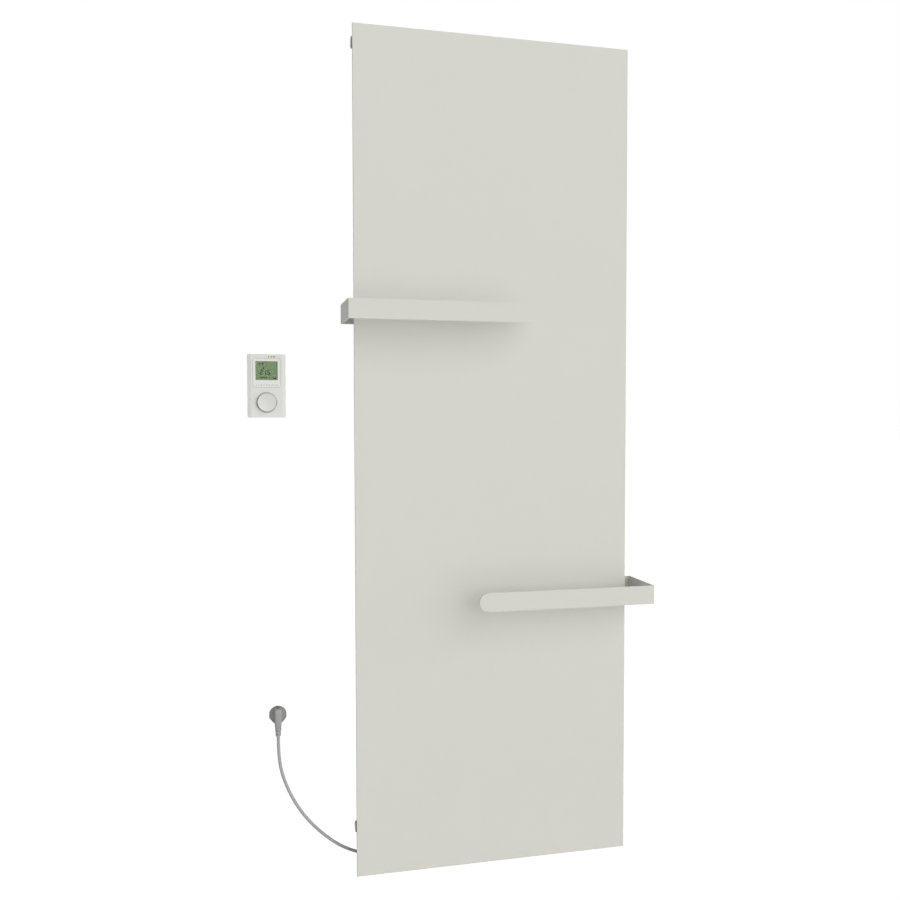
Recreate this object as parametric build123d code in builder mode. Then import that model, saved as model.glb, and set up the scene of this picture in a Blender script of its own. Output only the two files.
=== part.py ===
from build123d import *
from math import cos, pi, radians, sin, tan
import os

os.makedirs("parts", exist_ok=True)

# Electric towel radiator: a flat heating plate on a tube frame, two towel bars bent round its
# sides, a radio receiver with its supply lead behind it, and a radio thermostat beside it.
# X runs to the right, Y into the wall and Z up, in millimetres. The origin lies on the wall,
# at the centre of the four wall screws.

# Clearances
joint_gap = 0.3
slip_fit = 0.1
running_fit = 0.08
thread_fit = 0.05

# Heating plate and the tray behind it
panel_width = 600
panel_height = 1775
panel_thickness = 5
panel_edge_round = 1
wall_distance = 80
mat_thickness = 1.2
mat_margin = 6
insulation_thickness = 12
cover_sheet = 1
cover_side_margin = 15
cover_rail_gap = 8
flange_width = 15
cover_corner_round = 6
cover_screw_rows = 6
cover_screw_shank = 4
cover_screw_length = 4.4
cover_screw_head = 8
cover_screw_head_height = 2.2

# Tube frame
rail_diameter = 25
rail_wall = 2
top_rail_drop = 29.5
bottom_rail_rise = 96.5
cap_head = 4
cap_dome = 2.6
cap_spigot = 12
post_width = 25
post_wall = 2
post_inset = 75
saddle_inset = 115
saddle_width = 36
saddle_height = 32
frame_screw_shank = 5
frame_screw_head = 9.5
frame_screw_head_height = 2.8
frame_screw_hold = 9
head_round_share = 0.4

# Wall hooks
hook_inset = 160
hook_width = 30
hook_sheet = 3
hook_bend = 3
hook_lip = 4
hook_hole_rise = 22
hook_edge = 13
wall_screw_hole = 7
lock_screw_length = 12

# Towel bars
bar_height = 40
bar_strip = 3
bar_corner_round = 1.2
bar_clearance = 83.6
bar_spacer_length = 12
bar_leg_overhang = 8
bar_hole_spacing = 20
nut_plate_thickness = 4
nut_plate_side_gap = 1.2
upper_bar_rise = 300
upper_bar_side_gap = 18
upper_bar_length = 394
lower_bar_drop = 301
lower_bar_side_gap = 32
lower_bar_length = 389

# Radio receiver
box_x = 30
box_width = 120
box_height = 70
box_depth = 24
box_wall = 2
box_round = 6
lid_thickness = 3
lid_lip = 1.6
boss_inset = 6.5
boss_diameter = 7
lid_screw_shank = 2.6
lid_screw_length = 12
lid_screw_head = 5
lid_screw_head_height = 1.6
board_height = 50
board_inset = 13
lead_space = 23
board_thickness = 1.6
board_pillar = 4
board_pillar_diameter = 6
relay_size = (19, 15, 15)
block_size = (12, 24, 12)
supply_size = (13, 9, 9)
board_part_round = 0.6
button_place = (-26, -14)
button_diameter = 6.4
button_proud = 1.5
button_flange = 9
button_flange_height = 1.2
button_stem = 4
button_travel = 0.8
switch_side = 6
switch_height = 4
lamp_place = (-26, 12)
lamp_diameter = 3
lamp_proud = 0.5
gland_thread = 16
gland_flats = 20
gland_flange = 5
gland_cap = 10
gland_cap_taper = 8
gland_nut_height = 4
sleeve_length = 26
sleeve_start = 12
sleeve_end = 9.4

# Connections inside the tray
lead_hole_inset = 13
lead_hole = 12
grommet_flange = 18
grommet_flange_height = 1.2
pocket_width = 76
pocket_height = 52
pocket_margin = 10
wire = 2.6
wire_pitch = 6
wire_bend = 6
earth_wire_bend = 4.2
cutout_diameter = 16
cutout_height = 6
cutout_spread = 14
stud_diameter = 5
stud_length = 9
stud_nut_flats = 8
stud_nut_height = 4
lug_diameter = 10
lug_thickness = 1

# Supply lead
cord = 6.8
coil_x = -110
coil_rise = 101
coil_radius = 40
coil_pitch = 7.6
coil_turns = 2.25
coil_start_y = -31.4
tie_strap = 1.2
tie_width = 4
peg_diameter = 10
peg_flange = 18
peg_flange_height = 2

# Plug
plug_x = -457
plug_z = -605
plug_diameter = 37
plug_flat = 35.6
plug_depth = 14
plug_edge_round = 1.5
plug_cord_y = -15
grip_width = 17
grip_depth = 15
grip_rise = 15
grip_drop = 24
grip_round = 5
relief_length = 19
relief_start = 13.6
relief_end = 10.4
pin_diameter = 4.8
pin_length = 19
pin_spacing = 19
pin_root = 8
pin_root_diameter = 4
pin_collar = 0.4
clip_width = 6
clip_thickness = 1
clip_length = 10

# Radio thermostat
thermostat_x = -474.3
thermostat_z = 92.5
case_width = 77
case_height = 131
case_depth = 26
case_wall = 2
case_corner = 1.5
case_slope_width = 7
case_slope_depth = 2
plate_thickness = 2.5
wall_hole_spacing = 60
wall_hole = 4.5
bezel_width = 56
bezel_height = 60
bezel_corner = 4.5
bezel_drop = 8.5
bezel_thickness = 2
bezel_groove = 0.4
lens_width = 44.8
lens_height = 38.8
lens_offset = 4.6
lens_thickness = 1.2
lens_sunk = 0.3
display_width = 49
display_height = 43
display_corner = 1
battery_diameter = 10.5
battery_length = 44.5
battery_spread = 7
battery_drop = 22
contact_height = 8.4
contact_thickness = 0.6
contact_width = 8
circuit_side_gap = 3.5
circuit_end_gap = 4.5
pillar_diameter = 6
pillar_inset = 6
signal_count = 3
signal_pitch = 5.4
signal_diameter = 2.4
signal_drop = 5.2
signal_shift = 9.9
signal_proud = 0.2
knob_diameter = 42.4
knob_face = 34
knob_height = 7
knob_rim_round = 0.8
knob_skirt = 1.6
knob_gap = 0.9
recess_depth = 0.8
press_travel = 0.5
shaft_diameter = 6
shaft_in_knob = 5
encoder_side = 12
encoder_height = 6.5
encoder_floor = 1
plunger_height = 1.5

# Planes of the layers, counted from the wall towards the room
panel_front = -wall_distance
panel_back = panel_front + panel_thickness
mat_back = panel_back + mat_thickness
insulation_back = mat_back + insulation_thickness
cover_back = insulation_back + cover_sheet
rail_radius = rail_diameter / 2
rail_y = cover_back + joint_gap + rail_radius
post_spread = panel_width / 2 - post_inset
saddle_spread = panel_width / 2 - saddle_inset
hook_spread = panel_width / 2 - hook_inset
frame_back = rail_y + rail_radius
bar_leg_front = frame_back + bar_spacer_length
bar_leg_back = bar_leg_front + bar_strip
bar_front = panel_front - bar_clearance - bar_strip

# Heights
rail_span = panel_height - top_rail_drop - bottom_rail_rise
top_rail_z = rail_span / 2 - hook_hole_rise
bottom_rail_z = -rail_span / 2 - hook_hole_rise
rail_heights = (bottom_rail_z, top_rail_z)
panel_z = top_rail_z + top_rail_drop - panel_height / 2
upper_bar_z = panel_z + upper_bar_rise
lower_bar_z = panel_z - lower_bar_drop
coil_z = bottom_rail_z + coil_rise
box_z = coil_z + coil_radius


def facing(y):
    """A plane parallel to the wall, X to the right and Z up, that extrudes towards the room."""
    return Plane.XZ.offset(-y)


def across(x):
    """A plane square to X, with Y and Z as its axes."""
    return Plane.YZ.offset(x)


def finish(piece, name):
    piece.part.label = name
    export_step(piece.part, f"parts/{name}.step")


def screws(seats, direction, shank, length, head, head_height):
    """Round-headed screws: each has its head's underside on its seat and points along direction."""
    with BuildPart() as group:
        for seat in seats:
            with BuildSketch(Plane(origin=seat, z_dir=direction)):
                Circle(shank / 2)
            extrude(amount=length)
            with BuildSketch(Plane(origin=seat, z_dir=direction)):
                Circle(head / 2)
            extrude(amount=-head_height)
            circles = group.edges().filter_by(GeomType.CIRCLE)
            rim = circles.filter_by(lambda e: e.radius > shank / 2)
            top = Vector(seat) - Vector(direction) * head_height
            fillet(rim.sort_by_distance(top)[0], radius=head_height * head_round_share)
    return group


def tube(points, radii, diameter):
    """A round cord or wire of straight runs and tangent arcs."""
    with BuildPart() as body:
        with BuildLine() as route:
            if len(points) > 2:
                FilletPolyline(*points, radius=radii)
            else:
                Line(*points)
        path = route.wires()[0]
        with BuildSketch(Plane(origin=path @ 0, z_dir=path % 0)):
            Circle(diameter / 2)
        sweep(path=path)
    section = pi * diameter**2 / 4
    print(f"tube length {path.length:.1f}, volume ratio {body.part.volume / section / path.length:.4f}")
    return body


# Tray outline, between the two rails
cover_width = panel_width - 2 * cover_side_margin
cover_bottom = bottom_rail_z + rail_radius + cover_rail_gap
cover_top = top_rail_z - rail_radius - cover_rail_gap
cover_height = cover_top - cover_bottom
cover_z = (cover_top + cover_bottom) / 2
tray_width = cover_width - 2 * flange_width
tray_height = cover_height - 2 * flange_width
inner_width = tray_width - 2 * cover_sheet
inner_height = tray_height - 2 * cover_sheet
screw_x = (cover_width - flange_width) / 2
screw_z = (cover_height - flange_width) / 2
side_rows = [screw_z * (2 * row / (cover_screw_rows - 1) - 1) for row in range(cover_screw_rows)]
cover_screw_places = [(side * screw_x, cover_z + rise) for rise in side_rows for side in (-1, 1)]
cover_screw_places += [(0, cover_z + side * screw_z) for side in (-1, 1)]

# Where the leads pass from the receiver into the tray
hole_x = box_x + box_width / 2 - lead_hole_inset
pocket_x = hole_x - lead_hole / 2 - pocket_margin + pocket_width / 2
stud_x = pocket_x + pocket_width / 2 - pocket_margin
cutout_x = (hole_x + lead_hole / 2 + stud_x - stud_nut_flats / 2) / 2

# The heating plate, with blind threads for the tray's screws
with BuildPart() as front_panel:
    with BuildSketch(facing(panel_back)):
        with Locations((0, panel_z)):
            Rectangle(panel_width, panel_height)
    extrude(amount=panel_thickness)
    fillet(front_panel.faces().sort_by(Axis.Y)[0].edges(), radius=panel_edge_round)
    with BuildSketch(facing(panel_back)):
        with Locations(*cover_screw_places):
            Circle(cover_screw_shank / 2 + thread_fit)
    extrude(amount=cover_screw_length - cover_sheet + slip_fit, mode=Mode.SUBTRACT)
finish(front_panel, "front_panel")

# The film element, bonded to the plate, with a window for the earth stud
with BuildPart() as heating_mat:
    with BuildSketch(facing(mat_back)):
        with Locations((0, cover_z)):
            Rectangle(inner_width - 2 * mat_margin, inner_height - 2 * mat_margin)
        with Locations((stud_x, box_z)):
            Circle(stud_nut_flats, mode=Mode.SUBTRACT)
    extrude(amount=mat_thickness)
finish(heating_mat, "heating_mat")

# The insulation, with a pocket for the connections
with BuildPart() as insulation_board:
    with BuildSketch(facing(insulation_back)):
        with Locations((0, cover_z)):
            Rectangle(inner_width - 2 * joint_gap, inner_height - 2 * joint_gap)
        with Locations((pocket_x, box_z)):
            Rectangle(pocket_width, pocket_height, mode=Mode.SUBTRACT)
    extrude(amount=insulation_thickness)
finish(insulation_board, "insulation_board")

# The peg that carries the coiled lead stands in the tray, under the top of the coil
peg_z = coil_z + coil_radius - cord / 2 - joint_gap - peg_diameter / 2

# The folded sheet tray
with BuildPart() as rear_cover:
    with BuildSketch(facing(panel_back)):
        with Locations((0, cover_z)):
            RectangleRounded(cover_width, cover_height, cover_corner_round)
    extrude(amount=-cover_sheet)
    with BuildSketch(facing(panel_back)):
        with Locations((0, cover_z)):
            Rectangle(tray_width, tray_height)
    extrude(amount=-(cover_back - panel_back))
    with BuildSketch(facing(panel_back)):
        with Locations((0, cover_z)):
            Rectangle(inner_width, inner_height)
    extrude(amount=-(insulation_back - panel_back), mode=Mode.SUBTRACT)
    with BuildSketch(facing(cover_back)):
        with Locations((hole_x, box_z)):
            Circle(lead_hole / 2 + cover_sheet + slip_fit)
    extrude(amount=cover_sheet, mode=Mode.SUBTRACT)
    with BuildSketch(facing(panel_back + cover_sheet)):
        with Locations(*cover_screw_places):
            Circle(cover_screw_shank / 2 + slip_fit)
    extrude(amount=cover_sheet, mode=Mode.SUBTRACT)
finish(rear_cover, "rear_cover")

cover_screws = screws(
    [(x, panel_back + cover_sheet, z) for x, z in cover_screw_places],
    (0, -1, 0),
    cover_screw_shank,
    cover_screw_length,
    cover_screw_head,
    cover_screw_head_height,
)
finish(cover_screws, "cover_screws")

# Round tubes across the back, level with the plate's sides, drilled for the saddle screws
tube_length = panel_width - 2 * cap_head
for rail_name, rail_z in zip(("rear_rail_bottom", "rear_rail_top"), rail_heights):
    with BuildPart() as rail:
        with BuildSketch(across(-tube_length / 2)):
            with Locations((rail_y, rail_z)):
                Circle(rail_radius)
                Circle(rail_radius - rail_wall, mode=Mode.SUBTRACT)
        extrude(amount=tube_length)
        with BuildSketch(facing(frame_back)):
            with Locations((-saddle_spread, rail_z), (saddle_spread, rail_z)):
                Circle(frame_screw_shank / 2 + slip_fit)
        extrude(amount=rail_diameter, mode=Mode.SUBTRACT)
    finish(rail, rail_name)

# Domed plastic caps in the tube ends
with BuildPart() as rail_end_caps:
    for rail_z in rail_heights:
        for side in (-1, 1):
            end = Plane(origin=(side * tube_length / 2, rail_y, rail_z), z_dir=(side, 0, 0))
            with BuildSketch(end):
                Circle(rail_radius)
            extrude(amount=cap_head)
            face = rail_end_caps.faces().filter_by(Axis.X).sort_by_distance(
                (side * panel_width / 2, rail_y, rail_z))[0]
            fillet(face.edges(), radius=cap_dome)
            with BuildSketch(end):
                Circle(rail_radius - rail_wall - slip_fit)
                Circle(rail_radius - 2 * rail_wall, mode=Mode.SUBTRACT)
            extrude(amount=-cap_spigot)
finish(rail_end_caps, "rail_end_caps")

saddle_places = [(side * saddle_spread, rail_z) for rail_z in rail_heights for side in (-1, 1)]

# Pads bonded to the plate, each with a half-round seat for its tube
with BuildPart() as rail_saddles:
    with BuildSketch(facing(rail_y)):
        with Locations(*saddle_places):
            Rectangle(saddle_width, saddle_height)
    extrude(amount=rail_y - panel_back)
    with BuildSketch(across(-panel_width / 2)):
        with Locations(*[(rail_y, rail_z) for rail_z in rail_heights]):
            Circle(rail_radius + slip_fit)
    extrude(amount=panel_width, mode=Mode.SUBTRACT)
    with BuildSketch(facing(rail_y)):
        with Locations(*saddle_places):
            Circle(frame_screw_shank / 2 + thread_fit)
    extrude(amount=rail_radius + frame_screw_hold + slip_fit, mode=Mode.SUBTRACT)
finish(rail_saddles, "rail_saddles")

rail_screws = screws(
    [(x, frame_back, z) for x, z in saddle_places],
    (0, -1, 0),
    frame_screw_shank,
    rail_diameter + frame_screw_hold,
    frame_screw_head,
    frame_screw_head_height,
)
finish(rail_screws, "rail_screws")

# Square posts between the tubes, with coped ends; each carries one towel bar
for post_name, side, bar_z in (("post_left", -1, upper_bar_z), ("post_right", 1, lower_bar_z)):
    with BuildPart() as post:
        with BuildSketch(Plane.XY.offset(bottom_rail_z)):
            with Locations((side * post_spread, rail_y)):
                Rectangle(post_width, post_width)
                Rectangle(post_width - 2 * post_wall, post_width - 2 * post_wall, mode=Mode.SUBTRACT)
        extrude(amount=rail_span)
        with BuildSketch(across(side * post_spread - post_width)):
            with Locations(*[(rail_y, rail_z) for rail_z in rail_heights]):
                Circle(rail_radius + slip_fit)
        extrude(amount=2 * post_width, mode=Mode.SUBTRACT)
        with BuildSketch(facing(rail_y + post_width / 2)):
            with Locations((side * post_spread, bar_z)):
                with GridLocations(0, bar_hole_spacing, 1, 2):
                    Circle(frame_screw_shank / 2 + slip_fit)
        extrude(amount=post_wall, mode=Mode.SUBTRACT)
    finish(post, post_name)

bar_fixings = [(-post_spread, upper_bar_z), (post_spread, lower_bar_z)]
post_back = rail_y + post_width / 2

# Spacer blocks between each post and its bar, and tapped plates inside the posts
with BuildPart() as bar_spacers:
    with BuildSketch(facing(bar_leg_front)):
        with Locations(*bar_fixings):
            Rectangle(post_width, bar_height)
            with GridLocations(0, bar_hole_spacing, 1, 2):
                Circle(frame_screw_shank / 2 + slip_fit, mode=Mode.SUBTRACT)
    extrude(amount=bar_leg_front - post_back)
finish(bar_spacers, "bar_spacers")

with BuildPart() as bar_nut_plates:
    with BuildSketch(facing(post_back - post_wall)):
        with Locations(*bar_fixings):
            Rectangle(post_width - 2 * post_wall - 2 * nut_plate_side_gap, bar_height)
            with GridLocations(0, bar_hole_spacing, 1, 2):
                Circle(frame_screw_shank / 2 + thread_fit, mode=Mode.SUBTRACT)
    extrude(amount=nut_plate_thickness)
finish(bar_nut_plates, "bar_nut_plates")

bar_screws = screws(
    [(x, bar_leg_back, z + side * bar_hole_spacing / 2) for x, z in bar_fixings for side in (-1, 1)],
    (0, -1, 0),
    frame_screw_shank,
    bar_leg_back - post_back + post_wall + nut_plate_thickness,
    frame_screw_head,
    frame_screw_head_height,
)
finish(bar_screws, "bar_screws")


def towel_bar(side, side_gap, length, z):
    """A flat bar bent into a U round the plate's left (-1) or right (1) side, with a round free end."""
    outer_x = side * (panel_width / 2 + side_gap + bar_strip)
    free_x = outer_x - side * length
    tip_x = side * (post_spread - post_width / 2 - bar_leg_overhang)
    depth = bar_leg_back - bar_front
    leg = abs(outer_x - tip_x)
    with BuildPart() as bar:
        with BuildSketch(Plane.XY.offset(z - bar_height / 2)):
            with Locations(((outer_x + free_x) / 2, bar_front + bar_strip / 2)):
                Rectangle(length, bar_strip)
            with Locations((outer_x - side * bar_strip / 2, bar_front + depth / 2)):
                Rectangle(bar_strip, depth)
            with Locations(((outer_x + tip_x) / 2, bar_leg_back - bar_strip / 2)):
                Rectangle(leg, bar_strip)
        extrude(amount=bar_height)
        upright = bar.edges().filter_by(Axis.Z)
        corners = [upright.sort_by_distance((outer_x, y, z))[0] for y in (bar_front, bar_leg_back)]
        fillet(corners, radius=bar_corner_round)
        across_bar = bar.edges().filter_by(Axis.Y)
        free_end = across_bar.filter_by(lambda e: abs(e.center().X - free_x) < bar_strip)
        fillet(free_end, radius=bar_height / 2 - thread_fit)
        with BuildSketch(facing(bar_leg_back)):
            with Locations((side * post_spread, z)):
                with GridLocations(0, bar_hole_spacing, 1, 2):
                    Circle(frame_screw_shank / 2 + slip_fit)
        extrude(amount=bar_strip, mode=Mode.SUBTRACT)
    return bar


finish(towel_bar(-1, upper_bar_side_gap, upper_bar_length, upper_bar_z), "upper_towel_bar")
finish(towel_bar(1, lower_bar_side_gap, lower_bar_length, lower_bar_z), "lower_towel_bar")

# Bent wall hooks: plate on the wall, arm under the tube, round cradle and lip in front of it
cradle = rail_radius + joint_gap
hook_places = [(side * hook_spread, rail_z) for rail_z in rail_heights for side in (-1, 1)]
with BuildPart() as wall_hooks:
    for x, rail_z in hook_places:
        low = rail_z - cradle - hook_sheet
        high = rail_z + hook_hole_rise + hook_edge
        lip = rail_z + hook_lip
        with BuildSketch(across(x - hook_width / 2)) as profile:
            with BuildLine():
                Polyline((rail_y, low), (0, low), (0, high), (-hook_sheet, high),
                         (-hook_sheet, low + hook_sheet), (rail_y, low + hook_sheet))
                CenterArc((rail_y, rail_z), cradle, 180, 90)
                Polyline((rail_y - cradle, rail_z), (rail_y - cradle, lip),
                         (rail_y - cradle - hook_sheet, lip), (rail_y - cradle - hook_sheet, rail_z))
                CenterArc((rail_y, rail_z), cradle + hook_sheet, 180, 90)
            make_face()
            fillet(profile.vertices().sort_by_distance((0, low))[0], radius=hook_bend + hook_sheet)
            inner_corner = profile.vertices().sort_by_distance((-hook_sheet, low + hook_sheet))[0]
            fillet(inner_corner, radius=hook_bend)
        extrude(amount=hook_width)
    with BuildSketch(facing(0)):
        with Locations(*[(x, rail_z + hook_hole_rise) for x, rail_z in hook_places]):
            Circle(wall_screw_hole / 2)
    extrude(amount=hook_sheet, mode=Mode.SUBTRACT)
    for x, rail_z in hook_places:
        with BuildSketch(Plane.XY.offset(rail_z - cradle - hook_sheet)):
            with Locations((x, rail_y)):
                Circle(frame_screw_shank / 2 + thread_fit)
        extrude(amount=hook_sheet + joint_gap, mode=Mode.SUBTRACT)
finish(wall_hooks, "wall_hooks")

# Screws under the hooks that lock the tubes in their cradles
lock_tip = rail_radius + slip_fit
hook_lock_screws = screws(
    [(x, rail_y, rail_z - lock_tip - lock_screw_length) for x, rail_z in hook_places],
    (0, 0, 1),
    frame_screw_shank,
    lock_screw_length,
    frame_screw_head,
    frame_screw_head_height,
)
finish(hook_lock_screws, "hook_lock_screws")

# Radio receiver box on the tray
box_floor = cover_back + box_wall
box_rim = cover_back + box_depth
lid_outside = box_rim + lid_thickness
boss_places = [
    (box_x + side * (box_width / 2 - boss_inset), box_z + rise * (box_height / 2 - boss_inset))
    for side in (-1, 1)
    for rise in (-1, 1)
]
board_width = box_width - board_inset - lead_space
board_x = box_x - box_width / 2 + board_inset + board_width / 2
board_back = box_floor + board_pillar
board_front = board_back + board_thickness
gland_y = cover_back + box_depth / 2
pillar_x = board_width / 2 - board_pillar_diameter
pillar_z = board_height / 2 - board_pillar_diameter
pillar_places = [
    (board_x + side * pillar_x, box_z + rise * pillar_z)
    for side in (-1, 1)
    for rise in (-1, 1)
]
box_left = box_x - box_width / 2

with BuildPart() as receiver_base:
    with BuildSketch(facing(cover_back)):
        with Locations((box_x, box_z)):
            RectangleRounded(box_width, box_height, box_round)
    extrude(amount=-box_depth)
    with BuildSketch(facing(box_floor)):
        with Locations((box_x, box_z)):
            RectangleRounded(box_width - 2 * box_wall, box_height - 2 * box_wall, box_round - box_wall)
    extrude(amount=-(box_rim - box_floor), mode=Mode.SUBTRACT)
    with BuildSketch(facing(box_floor)):
        with Locations(*boss_places):
            Circle(boss_diameter / 2)
    extrude(amount=-(box_rim - box_floor - lid_lip - joint_gap))
    with BuildSketch(facing(box_floor)):
        with Locations(*pillar_places):
            Circle(board_pillar_diameter / 2)
    extrude(amount=-board_pillar)
    with BuildSketch(facing(box_rim)):
        with Locations(*boss_places):
            Circle(lid_screw_shank / 2 + thread_fit)
    extrude(amount=lid_screw_length, mode=Mode.SUBTRACT)
    with BuildSketch(facing(cover_back)):
        with Locations((hole_x, box_z)):
            Circle(lead_hole / 2 + cover_sheet + slip_fit)
    extrude(amount=-box_wall, mode=Mode.SUBTRACT)
    with BuildSketch(across(box_left)):
        with Locations((gland_y, box_z)):
            Circle(gland_thread / 2 + slip_fit)
    extrude(amount=box_wall, mode=Mode.SUBTRACT)
finish(receiver_base, "receiver_base")

button_x = box_x + button_place[0]
button_z = box_z + button_place[1]
lamp_x = box_x + lamp_place[0]
lamp_z = box_z + lamp_place[1]

with BuildPart() as receiver_lid:
    with BuildSketch(facing(box_rim)):
        with Locations((box_x, box_z)):
            RectangleRounded(box_width, box_height, box_round)
    extrude(amount=-lid_thickness)
    fillet(receiver_lid.faces().sort_by(Axis.Y)[-1].edges(), radius=lid_thickness / 3)
    lip_width = box_width - 2 * box_wall - 2 * slip_fit
    lip_height = box_height - 2 * box_wall - 2 * slip_fit
    with BuildSketch(facing(box_rim)):
        with Locations((box_x, box_z)):
            RectangleRounded(lip_width, lip_height, box_round - box_wall)
            Rectangle(lip_width - 2 * box_wall, lip_height - 2 * box_wall, mode=Mode.SUBTRACT)
    extrude(amount=lid_lip)
    with BuildSketch(facing(lid_outside)):
        with Locations(*boss_places):
            Circle(lid_screw_shank / 2 + slip_fit)
        with Locations((button_x, button_z)):
            Circle(button_diameter / 2 + joint_gap)
        with Locations((lamp_x, lamp_z)):
            Circle(lamp_diameter / 2 + slip_fit)
    extrude(amount=lid_thickness + lid_lip, mode=Mode.SUBTRACT)
    with BuildSketch(facing(lid_outside)):
        with Locations(*boss_places):
            Circle(lid_screw_head / 2 + slip_fit)
    extrude(amount=lid_screw_head_height, mode=Mode.SUBTRACT)
finish(receiver_lid, "receiver_lid")

lid_screws = screws(
    [(x, lid_outside - lid_screw_head_height, z) for x, z in boss_places],
    (0, -1, 0),
    lid_screw_shank,
    lid_screw_length,
    lid_screw_head,
    lid_screw_head_height,
)
finish(lid_screws, "lid_screws")

with BuildPart() as receiver_board:
    with BuildSketch(facing(board_back)):
        with Locations((board_x, box_z)):
            Rectangle(board_width, board_height)
    extrude(amount=-board_thickness)
finish(receiver_board, "receiver_board")


def on_board(size, x, z):
    """A rectangular part that stands on the receiver's board."""
    width, height, depth = size
    with BuildPart() as component:
        with BuildSketch(facing(board_front)):
            with Locations((x, z)):
                Rectangle(width, height)
        extrude(amount=-depth)
        fillet(component.edges().filter_by(Axis.Y), radius=board_part_round)
    return component


finish(on_board(relay_size, board_x + board_width / 8, box_z + board_height / 4), "relay")
block_x = board_x + board_width / 2 - block_size[0] / 2
finish(on_board(block_size, block_x, box_z), "terminal_block")
finish(on_board((switch_side, switch_side, switch_height), button_x, button_z), "button_switch")
finish(on_board(supply_size, board_x + board_width / 8, box_z - board_height / 4), "supply_module")

# The pairing button slides in the lid and stops above its switch
button_back = board_front + switch_height + button_travel + slip_fit
with BuildPart() as pairing_button:
    with BuildSketch(facing(lid_outside + button_proud)):
        with Locations((button_x, button_z)):
            Circle(button_diameter / 2)
    extrude(amount=button_proud + lid_thickness + joint_gap)
    fillet(pairing_button.faces().sort_by(Axis.Y)[-1].edges(), radius=button_proud / 3)
    with BuildSketch(facing(box_rim - joint_gap)):
        with Locations((button_x, button_z)):
            Circle(button_flange / 2)
    extrude(amount=button_flange_height)
    with BuildSketch(facing(box_rim - joint_gap)):
        with Locations((button_x, button_z)):
            Circle(button_stem / 2)
    extrude(amount=box_rim - joint_gap - button_back)
finish(pairing_button, "pairing_button")

# The lamp's light guide runs from the board through the lid
with BuildPart() as status_lamp:
    with BuildSketch(facing(lid_outside + lamp_proud)):
        with Locations((lamp_x, lamp_z)):
            Circle(lamp_diameter / 2)
    extrude(amount=lid_outside + lamp_proud - board_front)
    fillet(status_lamp.faces().sort_by(Axis.Y)[-1].edges(), radius=lamp_proud)
finish(status_lamp, "status_lamp")

# Cable gland in the box's left wall, its nut inside, and the rubber sleeve on the lead
gland_face = Plane(origin=(box_left, gland_y, box_z), z_dir=(-1, 0, 0))
gland_bore = cord / 2 + joint_gap
with BuildPart() as cable_gland:
    with BuildSketch(gland_face):
        RegularPolygon(gland_flats / 2, 6, major_radius=False)
    extrude(amount=gland_flange)
    with BuildSketch(gland_face.offset(gland_flange)):
        Circle(gland_flats / 2 - slip_fit)
    extrude(amount=gland_cap, taper=gland_cap_taper)
    with BuildSketch(gland_face):
        Circle(gland_thread / 2)
    extrude(amount=-(box_wall + gland_nut_height + joint_gap))
    with BuildSketch(gland_face.offset(-box_wall - gland_nut_height - joint_gap)):
        Circle(gland_bore)
    extrude(amount=box_wall + gland_nut_height + joint_gap + gland_flange, mode=Mode.SUBTRACT)
finish(cable_gland, "cable_gland")

with BuildPart() as gland_nut:
    with BuildSketch(gland_face.offset(-box_wall)):
        RegularPolygon(gland_flats / 2, 6, major_radius=False)
        Circle(gland_thread / 2 + thread_fit, mode=Mode.SUBTRACT)
    extrude(amount=-gland_nut_height)
finish(gland_nut, "gland_nut")

sleeve_root = gland_face.offset(gland_flange + gland_cap)
with BuildPart() as gland_sleeve:
    with BuildSketch(sleeve_root):
        Circle(sleeve_start / 2)
    with BuildSketch(sleeve_root.offset(sleeve_length)):
        Circle(sleeve_end / 2)
    loft()
finish(gland_sleeve, "gland_sleeve")

# Rubber grommet where the leads go through the tray and the box's floor
with BuildPart() as lead_grommet:
    with BuildSketch(facing(box_floor)):
        with Locations((hole_x, box_z)):
            Circle(lead_hole / 2 + cover_sheet)
            Circle(lead_hole / 2, mode=Mode.SUBTRACT)
    extrude(amount=box_floor - insulation_back)
    with BuildSketch(facing(box_floor)):
        with Locations((hole_x, box_z)):
            Circle(grommet_flange / 2)
            Circle(lead_hole / 2, mode=Mode.SUBTRACT)
    extrude(amount=-grommet_flange_height)
finish(lead_grommet, "lead_grommet")

# Bimetal cut-outs on the element, and the earth stud on the plate
with BuildPart() as thermal_cutouts:
    with BuildSketch(facing(mat_back)):
        with Locations((cutout_x, box_z - cutout_spread), (cutout_x, box_z + cutout_spread)):
            Circle(cutout_diameter / 2)
    extrude(amount=-cutout_height)
finish(thermal_cutouts, "thermal_cutouts")

with BuildPart() as earth_stud:
    with BuildSketch(facing(panel_back)):
        with Locations((stud_x, box_z)):
            Circle(stud_diameter / 2)
    extrude(amount=-stud_length)
    with BuildSketch(facing(panel_back)):
        with Locations((stud_x, box_z)):
            RegularPolygon(stud_nut_flats / 2, 6, major_radius=False)
    extrude(amount=-stud_nut_height)
finish(earth_stud, "earth_stud")

# Insulated leads from the terminal block through the grommet: two to the element, one to earth
lead_y = board_front + block_size[2] / 2
block_side = block_x + block_size[0] / 2
lug_y = panel_back + stud_nut_height + slip_fit + lug_thickness / 2
with BuildPart() as element_leads:
    for shift in (-wire_pitch / 2, wire_pitch / 2):
        with BuildLine() as lead_route:
            FilletPolyline(
                (block_side, lead_y, box_z + shift),
                (hole_x - wire / 2, lead_y, box_z + shift),
                (hole_x - wire / 2, mat_back, box_z + shift),
                radius=wire_bend,
            )
        with BuildSketch(Plane(origin=lead_route.line @ 0, z_dir=(1, 0, 0))):
            Circle(wire / 2)
        sweep(path=lead_route.line)
finish(element_leads, "element_leads")

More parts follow.
